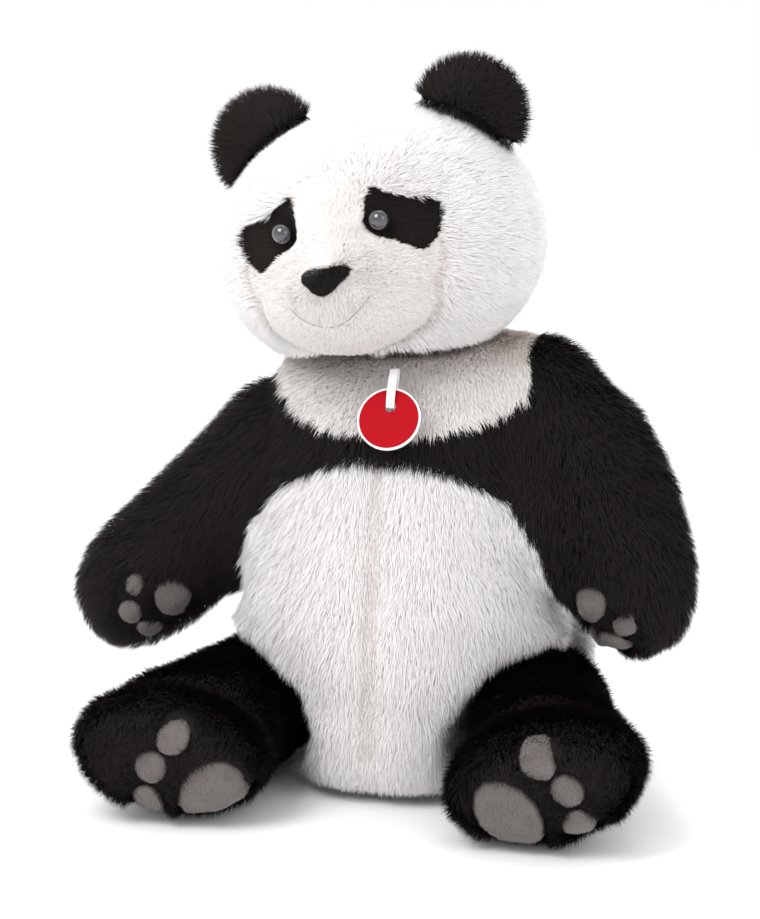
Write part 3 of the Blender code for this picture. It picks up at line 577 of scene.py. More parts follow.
def piece(name, plush, backing_part, hairs):
    """One object out of a part of a backing and its hairs, with the hairs' own map."""
    materials()
    bv, bn, buv, bf = backing_part
    hv, hn, huv = hairs
    start = len(bv)
    count = len(hv)
    v = np.concatenate([bv, hv.reshape(-1, 3)])
    normals = np.concatenate([bn, hn.reshape(-1, 3)])
    first = start + 5 * np.arange(count)[:, None]
    quads = (first + np.array([0, 1, 3, 2])).astype(np.int32)
    tris = (first + np.array([2, 3, 4])).astype(np.int32)
    loops = np.concatenate([bf.ravel(), quads.ravel(), tris.ravel()]).astype(np.int32)
    totals = np.concatenate([np.full(len(bf), 3), np.full(count, 4), np.full(count, 3)]).astype(np.int32)
    starts = np.concatenate([[0], np.cumsum(totals)[:-1]]).astype(np.int32)
    mesh = bpy.data.meshes.new(name)
    mesh.vertices.add(len(v))
    mesh.vertices.foreach_set("co", v.ravel().astype(np.float32))
    mesh.loops.add(len(loops))
    mesh.loops.foreach_set("vertex_index", loops)
    mesh.polygons.add(len(totals))
    mesh.polygons.foreach_set("loop_start", starts)
    mesh.polygons.foreach_set("loop_total", totals)
    mesh.polygons.foreach_set("use_smooth", np.ones(len(totals), bool))
    mesh.update(calc_edges=True)
    layer = mesh.uv_layers.new(name=UV_NAME)
    uv = np.concatenate([buv, huv.reshape(-1, 2)])[loops]
    layer.data.foreach_set("uv", uv.ravel().astype(np.float32))
    mesh.normals_split_custom_set_from_vertices(normals.tolist())
    mesh.materials.append(bpy.data.materials[PILE + plush])
    return add(name, mesh)


def joint_of(body):
    return next(j for j in frame["joints"] if j["child"] == body)


def outward(side):
    """The shoulder's place, and the way its arm leaves the body."""
    joint = joint_of("arm_" + side)
    place = np.array(joint["pos_m"])
    way = unit(np.array(joint["axis"], float))
    return place, way * math.copysign(1, way[0] * (place[0] - centre("torso_stuffing")[0]))


def hang(obj, body, name):
    """A panel rides on its body; the sleeve of an arm only has its transform baked in and rides on no body."""
    if name.startswith("arm_fur_"):
        side = name.rsplit("_", 1)[1]
        place, way = outward(side)
        start, end = (tuple(place + way * reach) for reach in SLEEVE_BEND)
        "arm_" + side
        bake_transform(obj)
        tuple(start)
        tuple(end)
    else:
        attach(obj, body)


def even_pile(b, length, width, density, lean, tone):
    """The pile of a backing at each vertex, from numbers or from one value per vertex."""
    values = {"length": length, "width": width, "density": density, "lean": lean, "tone": tone}
    return {key: np.ones(len(b.v)) * value for key, value in values.items()}


def one_owner(b):
    return np.zeros((len(b.v), 1))


def sew(backing, owners, body, pile, comb, seed, parts):
    """Splits a backing into its sewn panels, grows each one's pile and hangs it on its body, all but the sleeves,
    which ride on no body.

    owners holds one column per panel, and a vertex belongs to its smallest. pile gives, per vertex:
    length, width, density, lean and tone. comb is the lie of the hairs. parts lists each piece's name,
    its plush, its column, the CAD nodes that it replaces and, where it isn't the usual one,
    its fill, which is not used.
    """
    rng, at = grow(backing, pile["density"], seed)
    p, n = at(backing.v), unit(at(backing.n))
    whose = at(owners)
    cell = whose.argmin(1)
    d = tangent(at(comb) + rng.normal(0, 0.16, (len(p), 3)), n)
    swirl = np.stack([wave(p, 0.03, seed + 20 + k) for k in range(3)], 1) * 0.35
    d = tangent(d + swirl, n)
    length = at(pile["length"]) * (0.86 + 0.24 * rng.random(len(p)))
    lean = at(pile["lean"]) + rng.normal(0, 0.09, len(p)) + 0.08 * wave(p, 0.012, seed + 9)
    width = at(pile["width"]) * (0.75 + 0.5 * rng.random(len(p)))
    tone = at(pile["tone"]) + rng.normal(0, 0.09, len(p)) + 0.06 * wave(p, 0.02, seed + 5)
    tone = np.clip(tone, 0.02, 0.98)
    pull = locks(p, LOCK_SIZE, LOCK_PULL, seed) * np.clip(length / 0.010, 0, 1)[:, None]
    hv, hn, huv = hair_mesh(p, n, d, length, width, lean, tone, rng, pull)
    face_owner = owners[backing.f].mean(1).argmin(1)
    for name, plush, column, replaced, *fill in parts:
        faces = backing.f[face_owner == column]
        used = np.unique(faces)
        index = np.full(len(backing.v), -1)
        index[used] = np.arange(len(used))
        # The backing takes the colour near the hair roots, which is painted shade, as it lies deep under its pile.
        buv = np.stack([np.clip(pile["tone"][used], 0.02, 0.98), np.full(len(used), 0.2)], 1)
        mine = cell == column
        skin = (backing.v[used], backing.n[used], buv, index[faces])
        obj = piece(name, plush, skin, (hv[mine], hn[mine], huv[mine]))
        hang(obj, body, name)
        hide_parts(*replaced)
        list(fill or [sizes().stuffing])


def outline_gap(x, z, outline):
    """How far each point lies outside a closed outline, negative inside it."""
    a = np.array(outline, float)
    c = np.roll(a, -1, axis=0)
    p = np.stack([x, z], 1)[:, None]
    edge = (c - a)[None]
    t = np.clip(((p - a) * edge).sum(2) / (edge**2).sum(2), 0, 1)
    gap = np.linalg.norm(p - a - t[:, :, None] * edge, axis=2).min(1)
    above = (a[:, 1][None] > z[:, None]) != (c[:, 1][None] > z[:, None])
    run = a[:, 0] + (z[:, None] - a[:, 1]) * (c - a)[:, 0] / np.where((c - a)[:, 1] == 0, 1e-9, (c - a)[:, 1])
    inside = (above & (x[:, None] < run)).sum(1) % 2 == 1
    return np.where(inside, -gap, gap)


def step_to(d, low, high):
    t = np.clip((d - low) / (high - low), 0, 1)
    return t * t * (3 - 2 * t)


# ---------------------------------------------------------------- pieces

# The eye patch, in millimetres outwards and upwards from the eye, corner by corner
PATCH = (
    *((-8, 21), (2, 17), (12, 11), (22, 10), (29, 8), (32, -1)),
    *((29, -13), (21, -21), (14, -17), (3, -10), (-8, -2)),
)


class PANDA_OT_stage(bpy.types.Operator):
    """Sets the camera, the pale floor and the soft studio light"""

    bl_idname = "panda.stage"
    bl_label = "Stage"

    def execute(self, context):
        scene = context.scene
        low, high = Vector(CAD_BOX[0]), Vector(CAD_BOX[1])
        middle = (low + high) / 2
        target = middle + Vector((-0.0076, 0.0196, -0.0257))
        azimuth, elevation, distance = math.radians(15), math.radians(10), 1.5
        back = Vector(
            (
                math.sin(azimuth) * math.cos(elevation),
                -math.cos(azimuth) * math.cos(elevation),
                math.sin(elevation),
            )
        )
        camera = bpy.data.cameras.new("camera")
        camera.lens = 103
        camera.sensor_width = 36
        scene.camera = add("camera", camera)
        aim(scene.camera, target + back * distance, -back)
        scene.view_settings.view_transform = "Standard"
        self.floor()
        self.lights(scene, middle)
        return {"FINISHED"}

    def floor(self):
        rings, sectors = 40, 96
        radius = np.concatenate([[0.0], np.geomspace(0.05, 6.0, rings)])
        turn = np.linspace(0, 2 * math.pi, sectors, endpoint=False)
        v = np.array([(r * math.cos(t), r * math.sin(t), 0.0) for r in radius[1:] for t in turn])
        faces = []
        for ring in range(rings - 1):
            for s in range(sectors):
                a, b = ring * sectors + s, ring * sectors + (s + 1) % sectors
                faces.append((a, b, b + sectors, a + sectors))
        faces.append(tuple(range(sectors)))
        mesh = bpy.data.meshes.new("floor")
        mesh.from_pydata(v.tolist(), [], faces)
        obj = add("floor", mesh)
        r = Recipe("pale floor")
        spot = r.spot()
        grain = r.noise(spot, 14.0, 2.0)
        pale = r.mix(grain, (0.965, 0.962, 0.96), (0.98, 0.978, 0.975))
        mesh.materials.append(r.finish(Base_Color=pale, Roughness=0.9 + grain * 0.05))

    def lights(self, scene, middle):
        world = bpy.data.worlds.new("studio")
        world.use_nodes = True
        tree = world.node_tree
        tree.nodes.clear()
        end = tree.nodes.new("ShaderNodeOutputWorld")
        path = tree.nodes.new("ShaderNodeLightPath")
        mixer = tree.nodes.new("ShaderNodeMixShader")
        tree.links.new(path.outputs["Is Camera Ray"], mixer.inputs[0])
        # The room lights the toy at the first strength, and the camera sees it at the second.
        for place, strength in ((1, 1.12), (2, 1.0)):
            room = tree.nodes.new("ShaderNodeBackground")
            room.inputs[0].default_value = (1, 1, 1, 1)
            room.inputs[1].default_value = strength
            tree.links.new(room.outputs[0], mixer.inputs[place])
        tree.links.new(mixer.outputs[0], end.inputs[0])
        scene.world = world
        for name, place, size, power in (
            ("key", (-0.55, -1.1, 1.35), 0.9, 15.0),
            ("fill", (1.3, -0.9, 0.8), 1.0, 4.0),
            ("top", (0.1, 0.5, 1.6), 1.0, 5.0),
        ):
            lamp = bpy.data.lights.new(name, "AREA")
            lamp.shape = "DISK"
            lamp.size = size
            lamp.energy = power
            aim(add(name, lamp), place, middle - Vector(place))


def bare(backing, owners, long_columns, inset_long, inset_short):
    """Draws the backing in by the height of its pile."""
    is_long = np.isin(owners.argmin(1), long_columns).astype(float)
    backing.push(-(backing.even(is_long, 2) * (inset_long - inset_short) + inset_short))


class PANDA_OT_torso(bpy.types.Operator):
    """Makes the belly, back, seat, yoke and bib, and the arms that grow out of the yoke"""

    bl_idname = "panda.torso"
    bl_label = "Torso and arms"

    def execute(self, context):
        s = sizes()
        names = [
            "belly_panel_left",
            "belly_panel_right",
            "back_panel_left",
            "back_panel_right",
            "seat_panel",
            "shoulder_yoke",
            "collar",
            "arm_skin_left",
            "arm_skin_right",
        ]
        trunk = stuffed([*names[:7], "torso_stuffing"], s.backing_step)
        trunk.smooth(4)
        bare(trunk, distances(trunk.v, names[:7]), [0, 1, 2, 3, 4, 5], *TRUNK_INSET)
        all_v, all_f = [trunk.v], [trunk.f]
        for side in SIDES:
            arm = stuffed(["arm_skin_" + side, "arm_stuffing_" + side, *pads_of("arm", side)], s.backing_step)
            arm.smooth(4)
            arm.inset(ARM_INSET)
            # The root of the sleeve runs on into the shoulder, so that the skins meet.
            place, way = outward(side)
            root = step_to((arm.v - place) @ way, 16 * MM, 4 * MM)
            arm.v = arm.v - root[:, None] * way * (26 * MM)
            all_f.append(arm.f + sum(len(v) for v in all_v))
            all_v.append(arm.v)
        b = regridded(np.concatenate(all_v), np.concatenate(all_f), s.backing_step)
        b.smooth(3)
        own = distances(b.v, names)
        near = own.argmin(1)
        # The seam between sleeve and yoke is evened out, so that the shoulder runs on.
        gap = np.abs(own[:, 7:].min(1) - own[:, :7].min(1))
        join = np.exp(-((gap / (14 * MM)) ** 2)) * (b.v[:, 2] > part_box("shoulder_yoke")[0][2])
        for _ in range(26):
            b.v = b.v + join[:, None] * 0.6 * (b.spread(b.v) - b.v)
        b.update()
        for side in SIDES:
            place, way = outward(side)
            out, rise, swell = SHOULDERS[side]
            spot = place + way * (out * MM) + UP * (rise * MM)
            b.push(swell * MM * bump_at(b.v, spot, 0.030))
        b.smooth(3)
        belly_seam = np.abs(own[:, 0] - own[:, 1]) / MM
        front = near < 2
        # The belly sags forward where it rests, and its seam ends above the seat.
        sag = np.exp(-(((b.v[:, 2] - 0.018) / 0.024) ** 2)) * step_to(-b.n[:, 1], 0.2, 0.8) * front
        b.push(9 * MM * b.even(sag, 3))
        b.v[:, 2] = np.maximum(b.v[:, 2], FLOOR_BACKING)
        fold = np.exp(-((belly_seam / 5.0) ** 2)) * front * step_to(b.v[:, 2], 0.006, 0.035)
        b.push(-s.crease * 1.25 * fold)
        b.push(1.8 * MM * wave(b.v, 0.09, 3))
        is_bib = near == 6
        is_black = (near == 5) | (near > 6)
        along = tangent(np.tile([0.0, 0.0, -1.0], (len(b.v), 1)), b.n)
        out = b.v - centre("torso_stuffing")
        out[:, 2] = 0
        comb = along + unit(out) * 0.35
        comb[near == 4] += unit(out[near == 4])
        cover = np.ones(len(b.v))
        for column, side in ((7, "left"), (8, "right")):
            place, way = outward(side)
            down = unit(centre("palm_pad_" + side) - place)
            mine = near == column
            comb[mine] = down + unit(b.v[mine] - place) * 0.6 + np.array([0.0, 0.0, -0.35])
            under = distances(b.v[mine], pads_of("arm", side)).min(1)
            cover[mine] = step_to(under, 0.8 * MM, 5.0 * MM)
        comb = b.even(comb, 3)
        white_share = np.where(is_black, 1.0, 0.85)
        length = np.where(is_bib, s.bib_pile, s.body_pile * white_share) * (0.3 + 0.7 * cover) * (1 - 0.45 * fold)
        # Painted shade: hairs along the belly seam get a lower tone, which takes the seam shade colour.
        tone = 0.62 - 0.34 * fold**3
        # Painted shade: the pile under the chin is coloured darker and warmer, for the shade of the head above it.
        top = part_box("collar")[1][2]
        shade = step_to(b.v[:, 2], top - 26 * MM, top - 4 * MM)
        tone = np.where(is_bib, tone + 0.02 - 0.34 * shade, tone)
        tone = np.where(is_black, 0.6, tone)
        density = np.where(is_bib, s.hairs * 1.6, np.where(is_black, s.hairs * 1.1, s.hairs * 1.58))
        density = density * np.where(is_bib, 1.25, 1.0) * np.where(b.v[:, 2] < 0.008, 0.3, 1.0)
        density = density * (0.06 + 0.94 * cover)
        width = np.where(is_bib, s.fine_width, s.hair_width * white_share)
        pile = even_pile(b, b.even(length, 1), width, density, np.where(is_black, 0.56, 0.63), tone)
        parts = [
            ("belly_fur_left", WHITE, 0, ["belly_panel_left"]),
            ("belly_fur_right", WHITE, 1, ["belly_panel_right"]),
            ("back_fur_left", WHITE, 2, ["back_panel_left", "torso_stuffing"]),
            ("back_fur_right", WHITE, 3, ["back_panel_right"]),
            ("seat_fur", WHITE, 4, ["seat_panel"]),
            ("yoke_fur", BLACK, 5, ["shoulder_yoke"]),
            ("bib_fur", CREAM, 6, ["collar"]),
        ]
        for column, side in ((7, "left"), (8, "right")):
            parts.append(("arm_fur_" + side, BLACK, column, ["arm_skin_" + side, "arm_stuffing_" + side]))
        sew(b, own, "torso", pile, comb, s.seed + 100, parts)
        return {"FINISHED"}


class PANDA_OT_tail(bpy.types.Operator):
    """Makes the short white tail"""

    bl_idname = "panda.tail"
    bl_label = "Tail"

    def execute(self, context):
        s = sizes()
        b = stuffed(["tail"], 0.003)
        b.smooth(3)
        b.inset(TAIL_INSET)
        out = b.v - centre("torso_stuffing")
        comb = unit(out) + np.array([0, 0, -0.7])
        pile = even_pile(b, s.body_pile, s.hair_width, s.hairs * 1.2, 0.5, 0.6)
        sew(b, one_owner(b), "torso", pile, comb, s.seed + 200, [("tail_fur", WHITE, 0, ["tail"])])
        return {"FINISHED"}


class HeadFrame:
    """Axes of the head, from its eyes: x to its left eye, y to its back and z to its crown, in millimetres."""

    def __init__(self):
        left, right = centre("eye_left"), centre("eye_right")
        self.x = unit(left - right)
        self.y = unit(np.cross(UP, self.x))
        self.z = np.cross(self.x, self.y)
        self.middle = centre("head_skin")

    def local(self, p):
        q = (p - self.middle) / MM
        return np.stack([q @ self.x, q @ self.y, q @ self.z], -1)

    def world(self, q):
        q = np.asarray(q, float) * MM
        return self.middle + q[..., :1] * self.x + q[..., 1:2] * self.y + q[..., 2:3] * self.z


class PANDA_OT_head(bpy.types.Operator):
    """Makes the head with its brow, cheeks, eye patches, nose bridge and muzzle"""

    bl_idname = "panda.head"
    bl_label = "Head"

    def execute(self, context):
        s = sizes()
        names = ["head_skin", "muzzle_panel", "brow_strip", "eye_patch_left", "eye_patch_right"]
        b = stuffed([*names, "head_stuffing", "nose", "mouth_stitch"], 0.003)
        b.smooth(4)
        own = distances(b.v, names)
        head = HeadFrame()
        q0 = head.local(b.v)
        bare(b, own, [0], *HEAD_INSET)
        b.smooth(2)
        q = head.local(b.v)
        eyes = [head.local(centre("eye_left")), head.local(centre("eye_right"))]
        nose = head.local(centre("nose"))
        # The nose bridge ends before the crown, and each patch is cut to its own outline.
        own[:, 2] += 8 * MM * step_to(q0[:, 2], 28, 40)
        rest = own[:, :3].min(1)
        for column, eye in ((3, eyes[0]), (4, eyes[1])):
            side = math.copysign(1, eye[0])
            gap = outline_gap((q0[:, 0] - eye[0]) * side, q0[:, 2] - eye[2], PATCH)
            gap = np.where(q0[:, 1] < 0, gap, 50.0)
            own[:, column] = np.maximum(rest + b.even(gap, 1) * MM, 0)
            own[:, :3] += (np.maximum(-gap, 0) * MM)[:, None]
        near = own.argmin(1)
        patch = np.minimum(own[:, 3], own[:, 4])
        others = np.minimum(np.minimum(own[:, 0], own[:, 1]), own[:, 2])
        inside = step_to(others - patch, -1.0 * MM, 5.0 * MM)
        front = q[:, 1] < -20
        lift = -3.6 * MM * inside * front
        for eye in eyes:
            side = math.copysign(1, eye[0])
            brow = (eye[0] + 16 * side, eye[1] + 8, eye[2] + 33)
            lift += 5.0 * MM * bump_at(q * [0.62, 1, 1.15], np.array(brow) * [0.62, 1, 1.15], 15) * front
            cheek = (eye[0] + 24 * side, eye[1] + 20, nose[2] - 14)
            lift += 3.5 * MM * bump_at(q, np.array(cheek), 22) * front
        muzzle_edge = np.abs(own[:, 1] - np.minimum(own[:, 0], patch)) / MM
        strip_edge = np.abs(own[:, 2] - np.minimum(own[:, 0], patch)) / MM
        fold = np.exp(-((muzzle_edge / 3.5) ** 2)) * (near != 2) * front
        fold_strip = np.exp(-((strip_edge / 2.5) ** 2)) * front
        lift -= s.crease * 0.75 * fold + s.crease * 0.35 * fold_strip
        b.push(b.even(lift, 1))
        mouth = distances(b.v, ["mouth_stitch"])[:, 0] / MM
        smile = np.exp(-((mouth / 3.2) ** 2))
        b.push(-1.1 * MM * smile)
        b.push(0.9 * MM * wave(b.v, 0.05, 11))
        q = head.local(b.v)
        away = q - np.array([nose[0], nose[1] + 6, nose[2] + 2])
        away = away[:, :1] * head.x + away[:, 1:2] * head.y + away[:, 2:3] * head.z
        comb = unit(away) + np.array([0, 0, -0.35])
        brow_zone = step_to(q[:, 2], eyes[0][2] + 4, eyes[0][2] + 16) * (1 - step_to(q[:, 2], 46, 66)) * front
        comb = comb + brow_zone[:, None] * (-0.35 * head.z)
        is_fur = near == 0
        length = np.select([is_fur, near <= 2], [s.head_pile, s.face_pile], s.patch_pile)
        # Painted shade: hairs along the creases of the muzzle and nose bridge and along the mouth get a lower
        # tone, which takes the shade colour.
        tone = np.where(is_fur, 0.68, 0.67) - 0.34 * fold - 0.10 * fold_strip - 0.25 * smile
        lean = np.select([is_fur, near <= 2], [0.42, 0.46], 0.50)
        length = np.where(is_fur, b.even(length, 1), length)
        density = np.where(is_fur, s.hairs * 1.85, s.hairs * 3.3)
        # The hairs by each eye are trimmed away.
        for eye in eyes:
            close = np.linalg.norm(q - eye, axis=1)
            density = density * step_to(close, 6.0, 8.5)
            length = length * (0.45 + 0.55 * step_to(close, 8.0, 15.0))
        pile = even_pile(b, length, np.where(is_fur, s.hair_width, s.fine_width), density, lean, tone)
        parts = [
            ("head_fur", WHITE, 0, ["head_skin", "head_stuffing"]),
            ("muzzle_fur", CREAM, 1, ["muzzle_panel"]),
            ("nose_bridge_fur", CREAM, 2, ["brow_strip"]),
            ("eye_patch_fur_left", SHORN, 3, ["eye_patch_left"]),
            ("eye_patch_fur_right", SHORN, 4, ["eye_patch_right"]),
        ]
        sew(b, own, "head", pile, comb, s.seed + 300, parts)
        return {"FINISHED"}


class PANDA_OT_ears(bpy.types.Operator):
    """Makes the two furry ears"""

    bl_idname = "panda.ears"
    bl_label = "Ears"

    def execute(self, context):
        s = sizes()
        head = HeadFrame()
        for k, side in enumerate(SIDES):
            names = ["ear_front_" + side, "ear_back_" + side]
            b = stuffed(names, 0.003)
            b.smooth(4)
            own = distances(b.v, names)
            b.inset(EAR_INSET)
            b.smooth(2)
            middle = (centre(names[0]) + centre(names[1])) / 2
            root = middle + unit(head.middle - middle) * 0.02
            comb = unit(b.v - root) + np.array([0.0, 0.0, -0.1])
            pile = even_pile(b, s.ear_pile, s.hair_width, s.hairs * 1.6, 0.46, 0.6)
            parts = [
                ("ear_front_fur_" + side, BLACK, 0, [names[0]]),
                ("ear_back_fur_" + side, BLACK, 1, [names[1]]),
            ]
            sew(b, own, "head", pile, comb, s.seed + 400 + k, parts)
        return {"FINISHED"}


def sew_leg(side, seed):
    """A stuffed leg with its long black pile, left short where its pads are sewn on."""
    s = sizes()
    names, pads = ["leg_skin_" + side, "leg_stuffing_" + side], pads_of("leg", side)
    b = stuffed([*names, *pads], s.backing_step)
    b.smooth(4)
    b.inset(LEG_INSET)
    b.smooth(2)
    b.push(1.6 * MM * wave(b.v, 0.07, seed))
    # The stuffed foot swells out beyond the ankle, and the right one is drawn in at its toes.
    if side == "right":
        b.v[:, 0] += 8 * MM * step_to(-b.v[:, 0], 0.112, 0.165)
        b.update()
    root = np.array(joint_of("leg_" + side)["pos_m"])
    end = centre(pads[0])
    along = unit(end - root)
    reach = (b.v - end) @ along / MM
    for height, back, spread in ((-5.5, 40, 11), (1.5, 16, 12)):
        b.push(height * MM * np.exp(-(((reach + back) / spread) ** 2)) * step_to(b.n[:, 2], -0.4, 0.3))
    under = distances(b.v, pads).min(1)
    away = b.v - root
    comb = along + unit(away) * 0.6 + np.array([0.0, 0.0, -0.15])
    cover = step_to(under, 0.8 * MM, 5.0 * MM)
    length = s.body_pile * (0.35 + 0.65 * cover)
    density = s.hairs * 1.2 * np.where(b.v[:, 2] < 0.006, 0.3, 1.0) * (0.06 + 0.94 * cover)
    pile = even_pile(b, length, s.hair_width, density, 0.56, 0.6)
    parts = [("leg_fur_" + side, BLACK, 0, names)]
    sew(b, one_owner(b), "leg_" + side, pile, comb, s.seed + seed, parts)


def velour_pad(name, body, seed):
    """A sewn-on pad with a crowned middle and shorn grey pile."""
    s = sizes()
    b = stuffed([name], 0.0014)
    b.smooth(5)
    b.inset(PAD_INSET)
    # The pad is sewn down into the pile of the limb, and its middle swells.
    middle = b.v.mean(0)
    axes = np.linalg.svd(b.v - middle, full_matrices=False)[2]
    face = axes[2] * math.copysign(1, axes[2] @ (middle - centre(body.replace("_", "_stuffing_"))))
    reach = np.linalg.norm((b.v - middle) - ((b.v - middle) @ face)[:, None] * face, axis=1)
    crown = 1 - np.clip(reach / reach.max(), 0, 1) ** 2
    b.v = b.v + face * ((1.6 * crown - 2.6) * MM)[:, None]
    b.update()
    comb = np.tile([0.25, 0.0, -1.0], (len(b.v), 1))
    lean = 0.55 + 0.2 * wave(b.v, 0.01, seed)
    tone = 0.6 + 0.2 * wave(b.v, 0.012, seed + 1)
    pile = even_pile(b, s.pad_pile, s.fine_width * 0.9, s.hairs * 3.2, lean, tone)
    parts = [(name + "_velour", GREY, 0, [name], 0.6)]
    sew(b, one_owner(b), body, pile, comb, s.seed + seed, parts)


def pads_of(kind, side):
    big, small = ("palm_pad_", "finger_pad_") if kind == "arm" else ("sole_pad_", "toe_pad_")
    return [big + side] + [small + str(k) + "_" + side for k in (1, 2, 3)]


class PANDA_OT_legs(bpy.types.Operator):
    """Makes the two stuffed legs"""

    bl_idname = "panda.legs"
    bl_label = "Legs"

    def execute(self, context):
        for k, side in enumerate(SIDES):
            sew_leg(side, 600 + 10 * k)
        return {"FINISHED"}


class PANDA_OT_pads(bpy.types.Operator):
    """Makes the grey pads of the hands and feet"""

    bl_idname = "panda.pads"
    bl_label = "Pads"

    def execute(self, context):
        seed = 700
        for kind in ("arm", "leg"):
            for side in SIDES:
                for name in pads_of(kind, side):
                    velour_pad(name, kind + "_" + side, seed)
                    seed += 7
        return {"FINISHED"}


def fix_to_head(name, mesh, material, node):
    """A piece without pile, which stands for one CAD node of the head."""
    mesh.materials.append(material)
    obj = add(name, mesh)
    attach(obj, "head")
    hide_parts(node)


class PANDA_OT_eyes(bpy.types.Operator):
    """Makes the glossy domed eyes and finishes the washers behind them"""

    bl_idname = "panda.eyes"
    bl_label = "Eyes"

    def execute(self, context):
        c = colours()
        head = HeadFrame()
        r = Recipe("eye plastic")
        spot = r.node("ShaderNodeTexCoord", {}, (), 0)
        height = r.node("ShaderNodeSeparateXYZ", {}, [spot], 2)
        ring = r.node(
            "ShaderNodeValToRGB",
            {"stops": [(0.0, c.eye_ring), (0.45, c.eye_ring), (0.62, c.eye), (1.0, (0.004, 0.004, 0.005))]},
            [height],
        )
        speck = r.noise(spot, 30.0, 3.0)
        r.finish(
            Base_Color=r.mix(speck * 0.35, ring, (0.035, 0.035, 0.042)),
            Roughness=0.12 + speck * 0.05,
            Coat_Weight=1.0,
            Coat_Roughness=0.02,
            Specular_IOR_Level=0.6,
        )
        for side in SIDES:
            node = "eye_" + side
            v, _ = node_rows([node])
            q = head.local(v)
            low, high = q.min(0), q.max(0)
            radius = (high[0] - low[0]) / 2 * MM * 0.93
            middle = head.world([(low[0] + high[0]) / 2, low[1] + radius / MM + 2.4, (low[2] + high[2]) / 2])
            out = -head.y * 0.96 + head.x * (0.22 if side == "left" else -0.22)
            mesh = self.dome(node + "_dome", middle, radius, out)
            fix_to_head(node + "_dome", mesh, r.material, node)
        washer = Recipe("washer plastic")
        grain = washer.noise(washer.spot(), 220.0, 3.0)
        washer.finish(
            Base_Color=washer.mix(grain, (0.55, 0.54, 0.52), (0.72, 0.71, 0.68)), Roughness=0.35 + grain * 0.2
        )
        for side in SIDES:
            # The washer grips the skin from inside, behind the dome.
            v, f = node_rows(["eye_washer_" + side])
            mesh = mesh_of("washer_" + side, v + head.y * (7.5 * MM), f)
            fix_to_head("washer_" + side, mesh, washer.material, "eye_washer_" + side)
        return {"FINISHED"}

    def dome(self, name, middle, radius, out):
        """A domed button: a rounded front, a waist and a flat back, turned about its own axis."""
        out = unit(np.asarray(out, float))
        across = unit(np.cross(out, UP))
        up = np.cross(across, out)
        profile = [(math.sin(a) * 1.0, math.cos(a) * 0.92) for a in np.linspace(0, math.pi * 0.62, 18)[1:]]
        profile += [(0.78, -0.62), (0.4, -0.66)]
        around = 40
        v = [middle + out * radius * 0.92]
        for reach, height in profile:
            for k in range(around):
                t = 2 * math.pi * k / around
                v.append(middle + radius * (out * height + reach * (across * math.cos(t) + up * math.sin(t))))
        faces = [(0, 1 + k, 1 + (k + 1) % around) for k in range(around)]
        for ring in range(len(profile) - 1):
            for k in range(around):
                a, b = 1 + ring * around + k, 1 + ring * around + (k + 1) % around
                faces.append((a, a + around, b + around, b))
        faces.append(tuple(1 + (len(profile) - 1) * around + k for k in reversed(range(around))))
        mesh = bpy.data.meshes.new(name)
        mesh.from_pydata([tuple(x) for x in v], [], faces)
        mesh.polygons.foreach_set("use_smooth", [True] * len(faces))
        mesh.update()
        return mesh


class PANDA_OT_nose(bpy.types.Operator):
    """Makes the flocked nose"""

    bl_idname = "panda.nose"
    bl_label = "Nose"

    def execute(self, context):
        s = sizes()
        b = stuffed(["nose"], 0.0010)
        b.smooth(6)
        head = HeadFrame()
        q = head.local(b.v)
        middle = head.local(centre("nose"))
        b.v = head.world(middle + (q - middle) * np.array([0.93, 1.0, 0.72]))
        b.update()
        comb = unit(b.v - centre("nose")) * 1.2 - 0.3 * head.z
        pile = even_pile(b, s.flock_pile, s.fine_width * 0.7, s.hairs * 7.0, 0.45, 0.55)
        parts = [("nose_flock", FLOCK, 0, ["nose"], 0.9)]
        sew(b, one_owner(b), "head", pile, comb, s.seed + 900, parts)
        return {"FINISHED"}


class PANDA_OT_mouth(bpy.types.Operator):
    """Makes the stitched smile, drawn down into the pile"""

    bl_idname = "panda.mouth"
    bl_label = "Mouth"

    def execute(self, context):
        c = colours()
        r = Recipe("mouth thread")
        spot = r.spot()
        twist = r.node(
            "ShaderNodeTexWave", {"wave_type": "BANDS"}, {"Vector": spot, "Scale": 900.0, "Distortion": 2.0}
        )
        bump = r.node("ShaderNodeBump", {}, {"Height": twist, "Strength": 0.6, "Distance": 0.0004})
        r.finish(
            Base_Color=r.mix(twist, tuple(x * 0.6 for x in c.thread), c.thread),
            Roughness=0.7 + twist * 0.1,
            Normal=bump,
        )
        b = stuffed(["mouth_stitch"], 0.0006)
        b.inset(0.35 * MM)
        b.v = b.v + HeadFrame().y * (0.7 * MM)
        mesh = mesh_of("mouth_thread", b.v, b.f)
        mesh.polygons.foreach_set("use_smooth", [True] * len(mesh.polygons))
        fix_to_head("mouth_thread", mesh, r.material, "mouth_stitch")
        return {"FINISHED"}


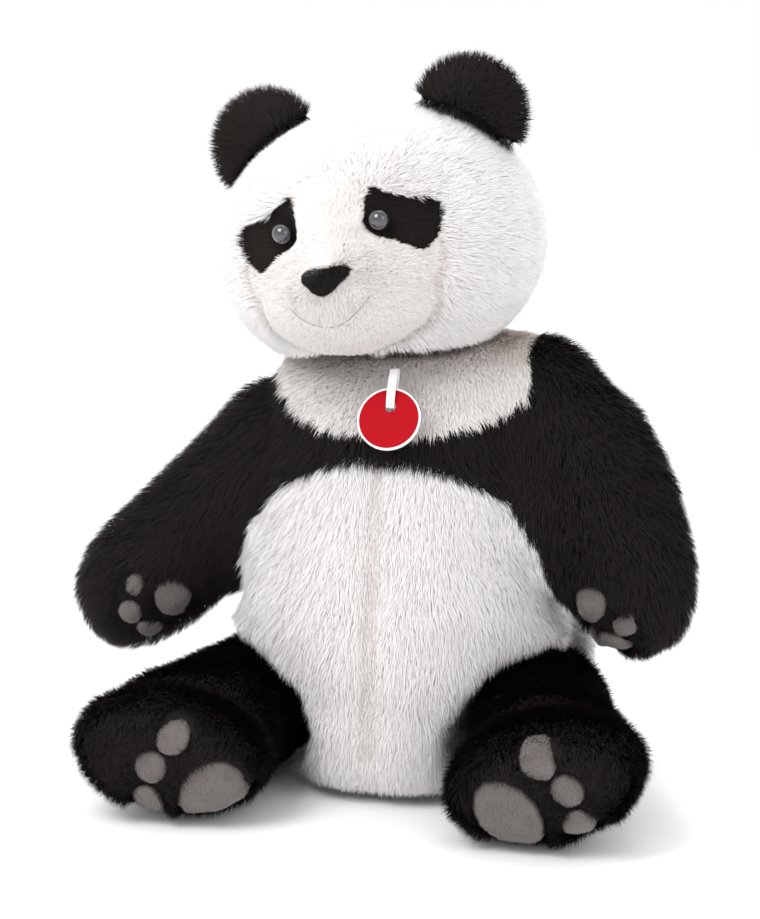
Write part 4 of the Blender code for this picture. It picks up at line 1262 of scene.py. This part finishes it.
class PANDA_OT_tag(bpy.types.Operator):
    """Finishes the swing tag and its strap"""

    bl_idname = "panda.tag"
    bl_label = "Swing tag"

    def execute(self, context):
        c = colours()
        r = Recipe("tag plastic")
        spot = r.spot()
        middle = tuple(centre("tag_disc"))
        gap = r.node("ShaderNodeVectorMath", {"operation": "DISTANCE"}, [spot, middle], 1)
        radius = float(extent("tag_disc")[0] / 2)
        rim = gap > radius * 0.945
        grain = r.noise(spot, 420.0, 4.0, 0.6)
        scuff = r.noise(spot, 90.0, 5.0, 0.7)
        r.finish(
            Base_Color=r.mix(rim, r.mix(grain * 0.25, c.tag, tuple(x * 0.8 for x in c.tag)), c.tag_rim),
            Roughness=0.55 + scuff * 0.2,
            Specular_IOR_Level=0.06,
        )
        self.paint("tag_disc", r.material)
        r = Recipe("strap plastic")
        spot = r.spot()
        cloud = r.noise(spot, 260.0, 3.0)
        r.finish(
            Base_Color=r.mix(cloud, c.strap, tuple(x * 0.86 for x in c.strap)),
            Roughness=0.3 + cloud * 0.15,
            Subsurface_Weight=0.25,
            Subsurface_Scale=0.002,
        )
        self.paint("tag_strap", r.material)
        return {"FINISHED"}

    def paint(self, node, material):
        held = frame["nodes"][node].data.materials
        held.clear()
        held.append(material)


STEPS = (
    PANDA_OT_stage,
    PANDA_OT_torso,
    PANDA_OT_tail,
    PANDA_OT_head,
    PANDA_OT_ears,
    PANDA_OT_legs,
    PANDA_OT_pads,
    PANDA_OT_eyes,
    PANDA_OT_nose,
    PANDA_OT_mouth,
    PANDA_OT_tag,
)


class PANDA_PT_sidebar(bpy.types.Panel):
    """Lists the steps that sew the panda"""

    bl_idname = "PANDA_PT_sidebar"
    bl_label = "Plush panda"
    bl_space_type = "VIEW_3D"
    bl_region_type = "UI"
    bl_category = "Plush panda"

    def draw(self, context):
        for group in (context.scene.panda_sizes, context.scene.panda_colours):
            for key in group.__annotations__:
                self.layout.prop(group, key)
        for step in STEPS:
            self.layout.operator(step.bl_idname)


CLASSES = (PandaSizes, PandaColours, *STEPS, PANDA_PT_sidebar)


def register():
    for cls in CLASSES:
        bpy.utils.register_class(cls)
    bpy.types.Scene.panda_sizes = bpy.props.PointerProperty(type=PandaSizes)
    bpy.types.Scene.panda_colours = bpy.props.PointerProperty(type=PandaColours)


def unregister():
    del bpy.types.Scene.panda_colours
    del bpy.types.Scene.panda_sizes
    for cls in reversed(CLASSES):
        bpy.utils.unregister_class(cls)


def main():
    register()
    for step in STEPS:
        group, name = step.bl_idname.split(".")
        getattr(getattr(bpy.ops, group), name)()


if __name__ == "__main__":
    main()
